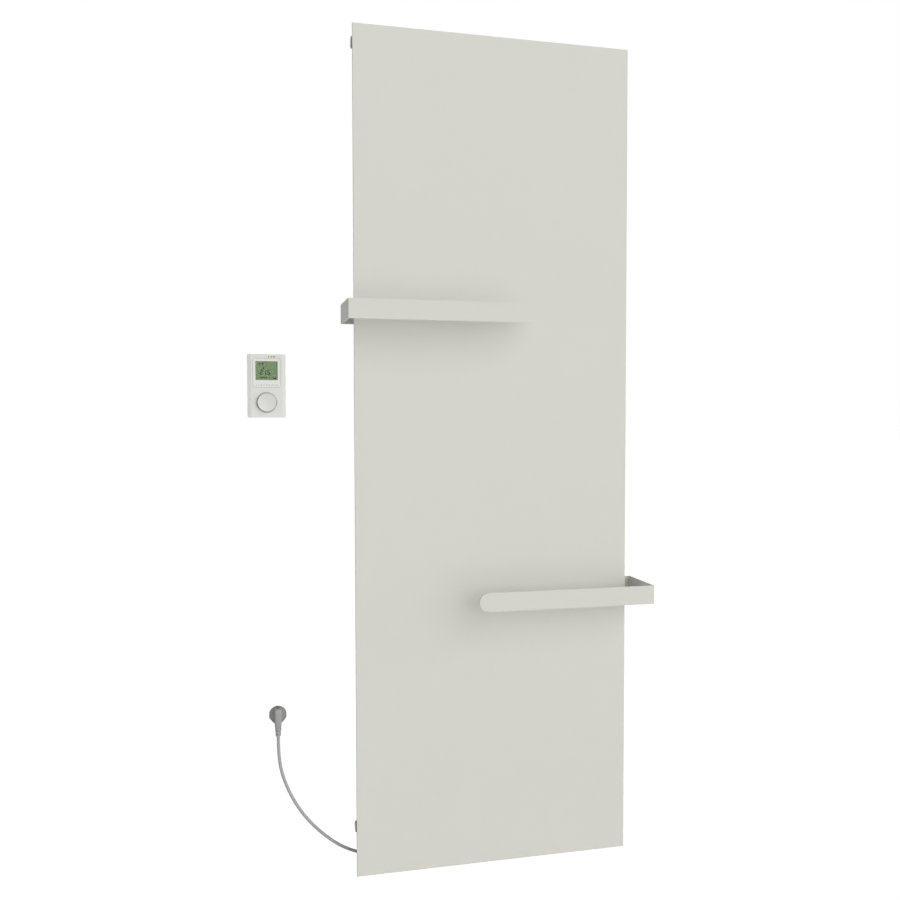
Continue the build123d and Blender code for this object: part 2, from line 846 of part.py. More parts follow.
with BuildPart() as earth_lead:
    with BuildLine() as lead_route:
        FilletPolyline(
            (block_side, lead_y + wire + joint_gap, box_z),
            (hole_x + wire, lead_y + wire + joint_gap, box_z),
            (hole_x + wire, lug_y, box_z),
            (stud_x - lug_diameter / 2 + joint_gap, lug_y, box_z),
            radius=earth_wire_bend,
        )
    with BuildSketch(Plane(origin=lead_route.line @ 0, z_dir=(1, 0, 0))):
        Circle(wire / 2)
    sweep(path=lead_route.line)
    with BuildSketch(facing(lug_y - lug_thickness / 2)):
        with Locations((stud_x, box_z)):
            Circle(lug_diameter / 2)
            Circle(stud_diameter / 2 + slip_fit, mode=Mode.SUBTRACT)
    extrude(amount=-lug_thickness)
finish(earth_lead, "earth_lead")

# The coil of spare lead: an even helix about Y, swept on pairs of tangent arcs, a quarter turn
# at a time, with a straight end of one diameter at both sides
coil_centre = Vector(coil_x, coil_start_y, coil_z)


def on_coil(turn):
    angle = pi - 2 * pi * turn
    return coil_centre + Vector(
        coil_radius * cos(angle), -coil_pitch * turn, coil_radius * sin(angle))


def along_coil(turn):
    angle = pi - 2 * pi * turn
    return Vector(sin(angle), -coil_pitch / (2 * pi * coil_radius), -cos(angle)).normalized()


def arc_middle(start, corner, end):
    """The middle of the arc that leaves start and reaches end along the lines through corner."""
    weight = (end - start).length / 2 / (corner - start).length
    return (start + corner * (2 * weight) + end) * (1 / (2 + 2 * weight))


def biarc(start, leaving, end, arriving):
    """Two tangent arcs from start to end, as the points that ThreePointArc takes."""
    chord = end - start
    tangents = leaving + arriving
    square = tangents.dot(tangents) - 4
    cross = chord.dot(tangents)
    reach = (cross - (cross**2 - square * chord.dot(chord)) ** 0.5) / square
    first = start + leaving * reach
    second = end - arriving * reach
    joint = (first + second) * 0.5
    out = (start, arc_middle(start, first, joint), joint)
    back = (joint, arc_middle(joint, second, end), end)
    return out, back


quarters = round(coil_turns * 4)
knots = [on_coil(step / 4) for step in range(quarters + 1)]
headings = [along_coil(step / 4) for step in range(quarters + 1)]
headings[0] = Vector(0, 0, 1)
headings[-1] = Vector(1, 0, 0)
coil_entry = knots[0] - headings[0] * cord
coil_exit = knots[-1] + headings[-1] * cord
with BuildPart() as cord_coil:
    with BuildLine() as coil_route:
        Line(coil_entry, knots[0])
        for step in range(quarters):
            for arc in biarc(knots[step], headings[step], knots[step + 1], headings[step + 1]):
                ThreePointArc(*arc)
        Line(knots[-1], coil_exit)
    with BuildSketch(Plane(origin=coil_entry, z_dir=headings[0])):
        Circle(cord / 2)
    sweep(path=coil_route.wires()[0])
finish(cord_coil, "cord_coil")

samples_per_turn = 48
sample_count = int(coil_turns * samples_per_turn) + 1
samples = [on_coil(step / samples_per_turn) for step in range(sample_count)]
coil_gap = min(
    (samples[a] - samples[b]).length - cord
    for a in range(len(samples))
    for b in range(a + samples_per_turn // 2, len(samples))
)
coil_length = coil_route.wires()[0].length
print(f"coil length {coil_length:.1f}, least gap to itself {coil_gap:.2f}, "
      f"volume ratio {cord_coil.part.volume / (pi * cord**2 / 4) / coil_length:.4f}")

# The free lead, from the plug's strain relief down round a hanging bend, behind the plate and
# up into the coil; each point is where two straight runs would meet
cord_start_z = plug_z - grip_drop - relief_length
cord_route = [
    (plug_x, plug_cord_y, cord_start_z),
    (plug_x, plug_cord_y, -680),
    (-452, -16.5, -724),
    (-434, -17, -774),
    (-407, -18.5, -821),
    (-371, -20, -862),
    (-328, -22, -897),
    (-284, -24, -916),
    (-242, -26, -924),
    (-208, -28, -908),
    (-181, -30, -876),
    (-161, -31, -832),
    (coil_entry.X, coil_entry.Y, -790),
    tuple(coil_entry),
]
runs = [Vector(*b) - Vector(*a) for a, b in zip(cord_route, cord_route[1:])]
turns = [a.get_angle(b) for a, b in zip(runs, runs[1:])]
cord_radii = [
    0.45 * min(a.length, b.length) / tan(radians(turn) / 2)
    for a, b, turn in zip(runs, runs[1:], turns)
]
print("cord turns", [round(turn, 1) for turn in turns])
print("cord radii", [round(radius) for radius in cord_radii])
finish(tube(cord_route, cord_radii, cord), "mains_cord")

sleeve_tip = box_left - gland_flange - gland_cap - sleeve_length
finish(tube([tuple(coil_exit), (sleeve_tip, coil_exit.Y, coil_exit.Z)], None, cord), "cord_tail")

# A strap round the two strands at the bottom of the coil, and the peg under its top
tie_y = (on_coil(0.75).Y + on_coil(1.75).Y) / 2
tie_inside = (cord + 2 * slip_fit, coil_pitch + cord + 2 * slip_fit)
with BuildPart() as coil_tie:
    with BuildSketch(Plane.YZ.offset(coil_x - tie_width / 2)):
        with Locations((tie_y, coil_z - coil_radius)):
            RectangleRounded(tie_inside[1] + 2 * tie_strap, tie_inside[0] + 2 * tie_strap, tie_inside[0] / 2)
            RectangleRounded(tie_inside[1], tie_inside[0], tie_inside[0] / 2 - slip_fit, mode=Mode.SUBTRACT)
    extrude(amount=tie_width)
finish(coil_tie, "coil_tie")

peg_tip = on_coil(0.25).Y + cord / 2 + joint_gap
with BuildPart() as cord_peg:
    with BuildSketch(facing(cover_back)):
        with Locations((coil_x, peg_z)):
            Circle(peg_diameter / 2)
    extrude(amount=-(peg_tip - cover_back))
    with BuildSketch(facing(peg_tip)):
        with Locations((coil_x, peg_z)):
            Circle(peg_flange / 2)
    extrude(amount=-peg_flange_height)
    with BuildSketch(facing(cover_back)):
        with Locations((coil_x, peg_z)):
            Circle(peg_flange / 2)
    extrude(amount=-peg_flange_height)
finish(cord_peg, "cord_peg")

# The moulded plug: round body with flat sides, a raised grip down its middle
with BuildPart() as plug_body:
    with BuildSketch(facing(0)):
        with Locations((plug_x, plug_z)):
            Circle(plug_diameter / 2)
            Rectangle(plug_flat, plug_diameter, mode=Mode.INTERSECT)
    extrude(amount=plug_depth)
    fillet(plug_body.faces().sort_by(Axis.Y)[0].edges(), radius=plug_edge_round)
    with BuildSketch(facing(plug_cord_y + grip_depth / 2)) as grip:
        with Locations((plug_x, plug_z + (grip_rise - grip_drop) / 2)):
            Rectangle(grip_width, grip_rise + grip_drop)
    extrude(amount=grip_depth)
    front_upright = plug_body.edges().filter_by(Axis.Z).group_by(Axis.Y)[0]
    fillet(front_upright, radius=grip_round)
    with BuildSketch(facing(0)):
        with Locations((plug_x - pin_spacing / 2, plug_z), (plug_x + pin_spacing / 2, plug_z)):
            Circle(pin_root_diameter / 2 + thread_fit)
    extrude(amount=pin_root, mode=Mode.SUBTRACT)
    with BuildSketch(facing(0)):
        with Locations((plug_x, plug_z + plug_diameter / 2)):
            Rectangle(clip_width + 2 * slip_fit, 2 * clip_thickness + 2 * slip_fit)
    extrude(amount=clip_length + slip_fit, mode=Mode.SUBTRACT)
finish(plug_body, "plug_body")

with BuildPart() as plug_pins:
    with BuildSketch(facing(pin_length)):
        with Locations((plug_x - pin_spacing / 2, plug_z), (plug_x + pin_spacing / 2, plug_z)):
            Circle(pin_diameter / 2)
    extrude(amount=pin_length - pin_collar)
    fillet(plug_pins.faces().sort_by(Axis.Y)[-2:].edges(), radius=pin_diameter / 4)
    with BuildSketch(facing(pin_collar)):
        with Locations((plug_x - pin_spacing / 2, plug_z), (plug_x + pin_spacing / 2, plug_z)):
            Circle(pin_root_diameter / 2)
    extrude(amount=pin_collar + pin_root - slip_fit)
finish(plug_pins, "plug_pins")

with BuildPart() as plug_earth_clip:
    with BuildSketch(facing(0)):
        with Locations((plug_x, plug_z + plug_diameter / 2 - clip_thickness / 2)):
            Rectangle(clip_width, clip_thickness)
    extrude(amount=clip_length)
finish(plug_earth_clip, "plug_earth_clip")

relief_root = Plane(origin=(plug_x, plug_cord_y, plug_z - grip_drop), z_dir=(0, 0, -1))
with BuildPart() as plug_strain_relief:
    with BuildSketch(relief_root):
        Circle(relief_start / 2)
    with BuildSketch(relief_root.offset(relief_length)):
        Circle(relief_end / 2)
    loft()
finish(plug_strain_relief, "plug_strain_relief")

# Radio thermostat on the wall, left of the plate
case_front = -case_depth
case_inside = case_front + case_wall
plate_front = -plate_thickness
circuit_back = plate_front - battery_diameter - joint_gap
circuit_front = circuit_back - board_thickness
case_top = thermostat_z + case_height / 2
case_bottom = thermostat_z - case_height / 2
bezel_z = case_top - bezel_drop - bezel_height / 2
lens_z = bezel_z + lens_offset
knob_x = thermostat_x
knob_z = (case_bottom + bezel_z - bezel_height / 2) / 2
signal_z = case_top - signal_drop
signal_places = [
    (thermostat_x + signal_shift + (index - 1) * signal_pitch, signal_z) for index in range(signal_count)
]
inside_width = case_width - 2 * case_wall
inside_height = case_height - 2 * case_wall
circuit_width = inside_width - 2 * circuit_side_gap
circuit_height = inside_height - 2 * circuit_end_gap
circuit_pillars = [
    (
        thermostat_x + side * (circuit_width / 2 - pillar_inset),
        thermostat_z + rise * (circuit_height / 2 - pillar_inset),
    )
    for side in (-1, 1)
    for rise in (-1, 1)
]

with BuildPart() as thermostat_back_plate:
    with BuildSketch(facing(0)):
        with Locations((thermostat_x, thermostat_z)):
            Rectangle(inside_width - 2 * joint_gap, inside_height - 2 * joint_gap)
            with GridLocations(0, wall_hole_spacing, 1, 2):
                Circle(wall_hole / 2, mode=Mode.SUBTRACT)
    extrude(amount=plate_thickness)
    with BuildSketch(facing(plate_front)):
        with Locations(*circuit_pillars):
            Circle(pillar_diameter / 2)
    extrude(amount=plate_front - circuit_back)
finish(thermostat_back_plate, "thermostat_back_plate")


def case_section(back):
    """The case seen from above: its left and right flanks slope away from the front."""
    outer = case_width / 2
    inner = outer - case_slope_width
    front = back - case_depth
    return [
        (thermostat_x - outer, back),
        (thermostat_x + outer, back),
        (thermostat_x + outer, front + case_slope_depth),
        (thermostat_x + inner, front),
        (thermostat_x - inner, front),
        (thermostat_x - outer, front + case_slope_depth),
    ]


with BuildPart() as thermostat_case:
    with BuildSketch(Plane.XY.offset(case_bottom)):
        with BuildLine():
            Polyline(*case_section(0), close=True)
        make_face()
    extrude(amount=case_height)
    with BuildSketch(facing(0)):
        with Locations((thermostat_x, thermostat_z)):
            RectangleRounded(case_width, case_height, case_corner)
    extrude(amount=case_depth, mode=Mode.INTERSECT)
    with BuildSketch(Plane.XY.offset(case_bottom + case_wall)):
        with BuildLine():
            Polyline(*case_section(case_wall), close=True)
        make_face()
        with Locations((thermostat_x, 0)):
            Rectangle(inside_width, 2 * case_depth, mode=Mode.INTERSECT)
    extrude(amount=inside_height, mode=Mode.SUBTRACT)
    with BuildSketch(facing(case_inside)):
        with Locations((thermostat_x, bezel_z)):
            RectangleRounded(bezel_width, bezel_height, bezel_corner)
        with Locations((knob_x, knob_z)):
            Circle(shaft_diameter)
        with Locations(*signal_places):
            Circle(signal_diameter / 2 + thread_fit)
    extrude(amount=case_wall, mode=Mode.SUBTRACT)
    with BuildSketch(facing(case_front)):
        with Locations((knob_x, knob_z)):
            Circle(knob_diameter / 2 + 2 * joint_gap)
    extrude(amount=-recess_depth, mode=Mode.SUBTRACT)
finish(thermostat_case, "thermostat_case")

with BuildPart() as thermostat_bezel:
    with BuildSketch(facing(case_front + bezel_thickness)):
        with Locations((thermostat_x, bezel_z)):
            RectangleRounded(
                bezel_width - 2 * bezel_groove,
                bezel_height - 2 * bezel_groove,
                bezel_corner - bezel_groove,
            )
        with Locations((thermostat_x, lens_z)):
            Rectangle(lens_width, lens_height, mode=Mode.SUBTRACT)
    extrude(amount=bezel_thickness)
finish(thermostat_bezel, "thermostat_bezel")

with BuildPart() as thermostat_lens:
    with BuildSketch(facing(case_front + lens_sunk + lens_thickness)):
        with Locations((thermostat_x, lens_z)):
            Rectangle(lens_width - 2 * thread_fit, lens_height - 2 * thread_fit)
    extrude(amount=lens_thickness)
finish(thermostat_lens, "thermostat_lens")

# The display module stands on the circuit board, close behind the bezel
display_front = case_front + bezel_thickness + slip_fit
with BuildPart() as thermostat_display:
    with BuildSketch(facing(circuit_front)):
        with Locations((thermostat_x, lens_z)):
            RectangleRounded(display_width, display_height, display_corner)
    extrude(amount=circuit_front - display_front)
finish(thermostat_display, "thermostat_display")

with BuildPart() as thermostat_board:
    with BuildSketch(facing(circuit_back)):
        with Locations((thermostat_x, thermostat_z)):
            Rectangle(circuit_width, circuit_height)
    extrude(amount=board_thickness)
finish(thermostat_board, "thermostat_board")

with BuildPart() as thermostat_lamps:
    with BuildSketch(facing(case_inside)):
        with Locations(*signal_places):
            Circle(signal_diameter / 2)
    extrude(amount=case_wall + signal_proud)
    fillet(thermostat_lamps.faces().filter_by(Axis.Y).group_by(Axis.Y)[0].edges(), radius=signal_proud)
finish(thermostat_lamps, "thermostat_lamps")

battery_z = thermostat_z - battery_drop
with BuildPart() as battery_cells:
    for side in (-1, 1):
        with BuildSketch(Plane.XY.offset(battery_z - battery_length / 2)):
            with Locations((thermostat_x + side * battery_spread, plate_front - battery_diameter / 2)):
                Circle(battery_diameter / 2 - thread_fit)
        extrude(amount=battery_length)
finish(battery_cells, "battery_cells")

with BuildPart() as battery_contacts:
    for side in (-1, 1):
        for end in (-1, 1):
            with BuildSketch(facing(plate_front)):
                with Locations((thermostat_x + side * battery_spread,
                                battery_z + end * (battery_length / 2 + slip_fit + contact_thickness / 2))):
                    Rectangle(contact_width, contact_thickness)
            extrude(amount=contact_height)
finish(battery_contacts, "battery_contacts")

# Push-and-turn control: encoder on the board, plunger, shaft and knob
encoder_front = circuit_front - encoder_height
bore_end = circuit_front - encoder_floor
plunger_back = bore_end - press_travel - slip_fit
plunger_front = plunger_back - plunger_height
knob_base = case_front + recess_depth - knob_gap
knob_front = knob_base - knob_height

with BuildPart() as encoder_body:
    with BuildSketch(facing(circuit_front)):
        with Locations((knob_x, knob_z)):
            Rectangle(encoder_side, encoder_side)
    extrude(amount=encoder_height)
    with BuildSketch(facing(bore_end)):
        with Locations((knob_x, knob_z)):
            Circle(shaft_diameter / 2 + running_fit)
    extrude(amount=encoder_height - encoder_floor, mode=Mode.SUBTRACT)
finish(encoder_body, "encoder_body")

with BuildPart() as encoder_plunger:
    with BuildSketch(facing(plunger_back)):
        with Locations((knob_x, knob_z)):
            Circle(shaft_diameter / 2)
    extrude(amount=plunger_height)
finish(encoder_plunger, "encoder_plunger")

shaft_back = plunger_front - running_fit
shaft_tip = knob_base - shaft_in_knob
with BuildPart() as encoder_shaft:
    with BuildSketch(facing(shaft_back)):
        with Locations((knob_x, knob_z)):
            Circle(shaft_diameter / 2)
    extrude(amount=shaft_back - shaft_tip)
finish(encoder_shaft, "encoder_shaft")

with BuildPart() as thermostat_knob:
    with BuildSketch(facing(knob_base)):
        with Locations((knob_x, knob_z)):
            Circle(knob_diameter / 2)
    extrude(amount=knob_skirt)
    with BuildSketch(facing(knob_base - knob_skirt)):
        with Locations((knob_x, knob_z)):
            Circle(knob_diameter / 2)
    with BuildSketch(facing(knob_front)):
        with Locations((knob_x, knob_z)):
            Circle(knob_face / 2)
    loft()
    fillet(thermostat_knob.faces().sort_by(Axis.Y)[0].edges(), radius=knob_rim_round)
    with BuildSketch(facing(knob_base)):
        with Locations((knob_x, knob_z)):
            Circle(shaft_diameter / 2 + thread_fit)
    extrude(amount=shaft_in_knob + slip_fit, mode=Mode.SUBTRACT)
finish(thermostat_knob, "thermostat_knob")
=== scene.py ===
from math import cos, pi, radians, sin

import bmesh
import bpy
from mathutils import Matrix, Vector


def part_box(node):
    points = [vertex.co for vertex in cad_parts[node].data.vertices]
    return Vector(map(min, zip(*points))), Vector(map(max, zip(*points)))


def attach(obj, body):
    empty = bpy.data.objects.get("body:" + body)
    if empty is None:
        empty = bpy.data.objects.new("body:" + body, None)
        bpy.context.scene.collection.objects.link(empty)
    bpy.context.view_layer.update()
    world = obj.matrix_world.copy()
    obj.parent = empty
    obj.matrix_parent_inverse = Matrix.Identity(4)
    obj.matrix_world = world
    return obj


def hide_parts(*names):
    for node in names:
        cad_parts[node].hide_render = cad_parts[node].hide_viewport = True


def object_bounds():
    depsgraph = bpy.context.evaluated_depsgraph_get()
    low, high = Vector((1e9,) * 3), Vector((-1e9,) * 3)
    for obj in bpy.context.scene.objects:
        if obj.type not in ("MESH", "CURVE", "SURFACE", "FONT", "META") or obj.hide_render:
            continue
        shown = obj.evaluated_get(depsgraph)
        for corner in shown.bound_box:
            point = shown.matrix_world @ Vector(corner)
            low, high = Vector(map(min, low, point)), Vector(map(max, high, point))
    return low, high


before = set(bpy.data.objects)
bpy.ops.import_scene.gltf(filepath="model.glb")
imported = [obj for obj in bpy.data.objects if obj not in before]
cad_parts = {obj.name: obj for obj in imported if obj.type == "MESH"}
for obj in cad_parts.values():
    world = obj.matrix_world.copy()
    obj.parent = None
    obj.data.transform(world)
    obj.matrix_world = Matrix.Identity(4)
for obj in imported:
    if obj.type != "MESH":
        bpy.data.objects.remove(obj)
cad_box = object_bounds()

# The heating plate: one flat metal sheet with broken edges, in a fine matt powder coat of warm
# light grey. Screws hold it from behind, so its front shows nothing but the coat.


def add_node(material, kind, settings=None, **inputs):
    """Adds one shader node; an input takes a value or another node's socket."""
    node = material.node_tree.nodes.new(kind)
    for name, value in (settings or {}).items():
        setattr(node, name, value)
    for name, value in inputs.items():
        socket = node.inputs[int(name[1:]) if name[1:].isdigit() else name.replace("_", " ")]
        if isinstance(value, bpy.types.NodeSocket):
            material.node_tree.links.new(value, socket)
        else:
            socket.default_value = value
    return node


def feed(material, setting, socket):
    """Joins a node's result to one input of the material's shader."""
    material.node_tree.links.new(socket, material.node_tree.nodes["Principled BSDF"].inputs[setting])


def surface(name, colour, roughness, metallic=0.0, mottle=0.03, mottle_size=0.03, grain=0.0,
            grain_size=0.0005, specular=0.5):
    """A finish whose colour varies softly over mottle_size, with a relief of fine grain, in metres."""
    material = bpy.data.materials.new(name)
    material.use_nodes = True
    shader = material.node_tree.nodes["Principled BSDF"]
    shader.inputs["Roughness"].default_value = roughness
    shader.inputs["Metallic"].default_value = metallic
    shader.inputs["Specular IOR Level"].default_value = specular
    place = add_node(material, "ShaderNodeTexCoord").outputs["Object"]
    cloud = add_node(material, "ShaderNodeTexNoise", Vector=place, Scale=1 / mottle_size, Detail=3.0)
    darker = [part * (1 - mottle) for part in colour]
    lighter = [min(part * (1 + mottle), 1) for part in colour]
    tone = add_node(material, "ShaderNodeMix", {"data_type": "RGBA"}, Factor=cloud.outputs["Fac"],
                    _6=(*darker, 1), _7=(*lighter, 1))
    feed(material, "Base Color", tone.outputs[2])
    if grain:
        pits = add_node(material, "ShaderNodeTexNoise", Vector=place, Scale=1 / grain_size, Detail=2.0)
        relief = add_node(material, "ShaderNodeBump", Height=pits.outputs["Fac"], Strength=grain,
                          Distance=grain_size)
        feed(material, "Normal", relief.outputs["Normal"])
    return material


def dress(material, *names):
    """Gives CAD nodes their finish."""
    for name in names:
        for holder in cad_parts[name].material_slots:
            holder.material = material


powder_coat = surface("powder_coat", (0.645, 0.645, 0.591), 0.6, mottle=0.01, mottle_size=0.2,
                      grain=0.18, grain_size=0.0009, specular=0.2)
dress(powder_coat, "front_panel")

# The element behind the plate: an amber film with etched dark tracks, bonded on, with a board of
# closed-cell foam behind it that keeps the heat off the wall.
film_amber = (0.32, 0.15, 0.03)
track_dark = (0.03, 0.025, 0.02)
track_scale = 40.0
element_film = surface("element_film", film_amber, 0.25, mottle=0.15, mottle_size=0.05)
film_place = add_node(element_film, "ShaderNodeTexCoord").outputs["Object"]
tracks = add_node(element_film, "ShaderNodeTexWave", {"bands_direction": "Z"}, Vector=film_place,
                  Scale=track_scale)
track_edge = add_node(element_film, "ShaderNodeMapRange", Value=tracks.outputs["Fac"],
                      From_Min=0.45, From_Max=0.55)
film_tone = add_node(element_film, "ShaderNodeMix", {"data_type": "RGBA"},
                     Factor=track_edge.outputs["Result"], _6=(*film_amber, 1), _7=(*track_dark, 1))
feed(element_film, "Base Color", film_tone.outputs[2])
dress(element_film, "heating_mat")
dress(surface("insulation_foam", (0.66, 0.64, 0.55), 0.9, mottle=0.06, mottle_size=0.01,
              grain=0.6, grain_size=0.0012), "insulation_board")

# The tray: galvanised sheet folded round the foam, with six swages pressed into its back for
# stiffness, and a flange all round that the screws pull onto the plate.


def galvanised(name, tone):
    """Zinc with its flat crystals: each has its own grey and its own gloss."""
    crystals_per_metre = 190.0
    darkest, lightest = 0.93, 1.05
    glossiest, dullest = 0.38, 0.48
    material = surface(name, tone, 0.42, metallic=0.85, grain=0.05, grain_size=0.002)
    place = add_node(material, "ShaderNodeTexCoord").outputs["Object"]
    crystal = add_node(material, "ShaderNodeTexVoronoi", Vector=place, Scale=crystals_per_metre)
    shade = add_node(material, "ShaderNodeSeparateColor", Color=crystal.outputs["Color"])
    darker = [part * darkest for part in tone]
    lighter = [min(part * lightest, 1) for part in tone]
    tint = add_node(material, "ShaderNodeMix", {"data_type": "RGBA"}, Factor=shade.outputs["Red"],
                    _6=(*darker, 1), _7=(*lighter, 1))
    gloss = add_node(material, "ShaderNodeMapRange", Value=shade.outputs["Green"],
                     To_Min=glossiest, To_Max=dullest)
    feed(material, "Base Color", tint.outputs[2])
    feed(material, "Roughness", gloss.outputs["Result"])
    return material


def keep(bm, name, material, slot, *nodes, body="radiator", sharp=35):
    """Turns a finished bmesh into a piece that rides on its body and stands for its CAD nodes."""
    bmesh.ops.remove_doubles(bm, verts=bm.verts, dist=1e-6)
    bmesh.ops.recalc_face_normals(bm, faces=bm.faces)
    mesh = bpy.data.meshes.new(name)
    bm.to_mesh(mesh)
    bm.free()
    mesh.shade_smooth()
    mesh.set_sharp_from_angle(angle=radians(sharp))
    mesh.materials.append(material)
    piece = bpy.data.objects.new(name, mesh)
    bpy.context.scene.collection.objects.link(piece)
    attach(piece, body)
    if nodes:
        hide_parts(*nodes)
    return piece


tray_zinc = galvanised("tray_zinc", (0.56, 0.58, 0.60))
dress(tray_zinc, "rear_cover")
tray_low, tray_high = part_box("rear_cover")
swage_width = 0.36
swage_height = 0.024
swage_rise = 0.0022
swage_sunk = 0.0002
swage_count = 6
swage_start = 1.45
crest_share = (0.96, 1, 0.35)
swage_edge = 0.0012
bm = bmesh.new()
for index in range(swage_count):
    swage_z = tray_low.z + (tray_high.z - tray_low.z) * (index + swage_start) / (swage_count + 1)
    middle = Matrix.Translation((0, tray_high.y - swage_sunk, swage_z))
    shape = Matrix.Rotation(pi / 2, 4, "X") @ Matrix.Diagonal((swage_width, swage_height, 1, 1))
    face = bmesh.ops.create_grid(bm, x_segments=1, y_segments=1, size=0.5, matrix=middle @ shape)
    sheet = [f for f in bm.faces if all(v in face["verts"] for v in f.verts)]
    lifted = bmesh.ops.extrude_face_region(bm, geom=sheet)
    corners = [v for v in lifted["geom"] if isinstance(v, bmesh.types.BMVert)]
    bmesh.ops.translate(bm, verts=corners, vec=(0, swage_rise, 0))
    bmesh.ops.scale(bm, verts=corners, vec=crest_share, space=Matrix.Translation((0, 0, -swage_z)))
bmesh.ops.bevel(bm, geom=bm.edges[:], offset=swage_edge, segments=3, profile=0.5, affect="EDGES",
                material=-1)
keep(bm, "tray_swages", tray_zinc, "zinc_sheet")

# The frame behind the plate: two round steel tubes across, two square posts between them, the pads
# that carry the plate and the blocks behind the towel bars, all in the plate's own coat.
dress(surface("frame_coat", (0.56, 0.56, 0.515), 0.5, mottle=0.02, mottle_size=0.1,
              grain=0.2, grain_size=0.001),
      "rear_rail_top", "rear_rail_bottom", "post_left", "post_right", "rail_saddles", "bar_spacers")

# Domed caps of dark plastic close the tube ends; they show at the plate's left edge.
dress(surface("cap_plastic", (0.17, 0.17, 0.165), 0.28, mottle=0.05, mottle_size=0.01,
              grain=0.25, grain_size=0.0006), "rail_end_caps")

# Hooks of thick galvanised steel, screwed to the wall; the tubes hang in their cradles.
dress(galvanised("hook_zinc", (0.50, 0.52, 0.54)), "wall_hooks")

# Zinc-plated screws with domed heads and hexagon sockets; the CAD gives each one's place.


def plated(name, tone, roughness=0.3):
    """Bright plating with fine turning marks."""
    return surface(name, tone, roughness, metallic=0.95, mottle=0.08, mottle_size=0.004,
                   grain=0.08, grain_size=0.0003)


def loose_boxes(node):
    """The box of each separate solid of a CAD node, as (low, high) corners."""
    bm = bmesh.new()
    bm.from_mesh(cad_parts[node].data)
    bmesh.ops.remove_doubles(bm, verts=bm.verts, dist=1e-6)
    boxes = []
    left = set(bm.verts)
    while left:
        group = {left.pop()}
        front = list(group)
        while front:
            for edge in front.pop().link_edges:
                for vert in edge.verts:
                    if vert in left:
                        left.discard(vert)
                        group.add(vert)
                        front.append(vert)
        spots = [vert.co for vert in group]
        boxes.append((Vector([min(s[i] for s in spots) for i in range(3)]),
                      Vector([max(s[i] for s in spots) for i in range(3)])))
    bm.free()
    return boxes


def turned(bm, outline, centre, axis, steps=32):
    """Spins an outline of (radius, distance along the axis) round the axis; a radius of 0 closes it."""
    axis = Vector(axis).normalized()
    side = axis.orthogonal().normalized()
    points = [bm.verts.new(Vector(centre) + side * radius + axis * along) for radius, along in outline]
    edges = [bm.edges.new(pair) for pair in zip(points, points[1:])]
    bmesh.ops.spin(bm, geom=points + edges, cent=centre, axis=axis, angle=2 * pi, steps=steps,
                   use_merge=True)


def socket_screws(node, toward, shank, head_height, material):
    """Screws in place of a CAD node's: toward is the way they point, from the head to the tip."""
    tip_chamfer = 0.0006
    dome_steps = 5
    dome_share = 0.75
    socket_share = 0.5
    socket_fit = 0.92
    socket_depth = 0.6
    toward = Vector(toward)
    along = max(range(3), key=lambda i: abs(toward[i]))
    bm = bmesh.new()
    for low, high in loose_boxes(node):
        head = (high[(along + 1) % 3] - low[(along + 1) % 3]) / 2
        length = high[along] - low[along]
        crown = (low + high) / 2 - toward * (length / 2)
        socket = head * socket_share
        dome = []
        for step in range(dome_steps + 1):
            angle = step * pi / (2 * dome_steps)
            dome.append((socket + (head - socket) * sin(angle),
                         head_height * dome_share * (1 - cos(angle))))
        shaft = [(head, head_height), (shank, head_height), (shank, length - tip_chamfer),
                 (shank - tip_chamfer, length), (0, length)]
        turned(bm, dome + shaft, crown, toward, steps=24)
        seat = Matrix.Translation(crown) @ toward.to_track_quat("Z", "Y").to_matrix().to_4x4()
        mouth = [edge for edge in bm.edges if edge.is_boundary]
        hexagon = bmesh.ops.create_circle(bm, segments=6, radius=socket * socket_fit,
                                          matrix=seat)["verts"]
        ring = [edge for edge in bm.edges if edge.verts[0] in hexagon and edge.verts[1] in hexagon]
        bmesh.ops.bridge_loops(bm, edges=mouth + ring)
        walls = bmesh.ops.extrude_edge_only(bm, edges=ring)["geom"]
        floor = [vert for vert in walls if isinstance(vert, bmesh.types.BMVert)]
        bmesh.ops.translate(bm, verts=floor, vec=toward * head_height * socket_depth)
        bmesh.ops.contextual_create(bm, geom=floor)
    return keep(bm, f"{node}_dressed", material, "zinc_fastener", node, sharp=28)


screw_zinc = plated("screw_zinc", (0.62, 0.62, 0.60))
for node, toward, shank, head_height in (
    ("cover_screws", (0, -1, 0), 0.0020, 0.0022),
    ("rail_screws", (0, -1, 0), 0.0025, 0.0028),
    ("bar_screws", (0, -1, 0), 0.0025, 0.0028),
    ("hook_lock_screws", (0, 0, 1), 0.0025, 0.0028),
    ("lid_screws", (0, -1, 0), 0.0013, 0.0016),
):
    socket_screws(node, toward, shank, head_height, screw_zinc)
dress(screw_zinc, "bar_nut_plates", "earth_stud", "battery_contacts")

# The towel bars: flat steel bent round the plate's left and right sides, round at the free end,
# coated with the plate.
dress(powder_coat, "upper_towel_bar", "lower_towel_bar")

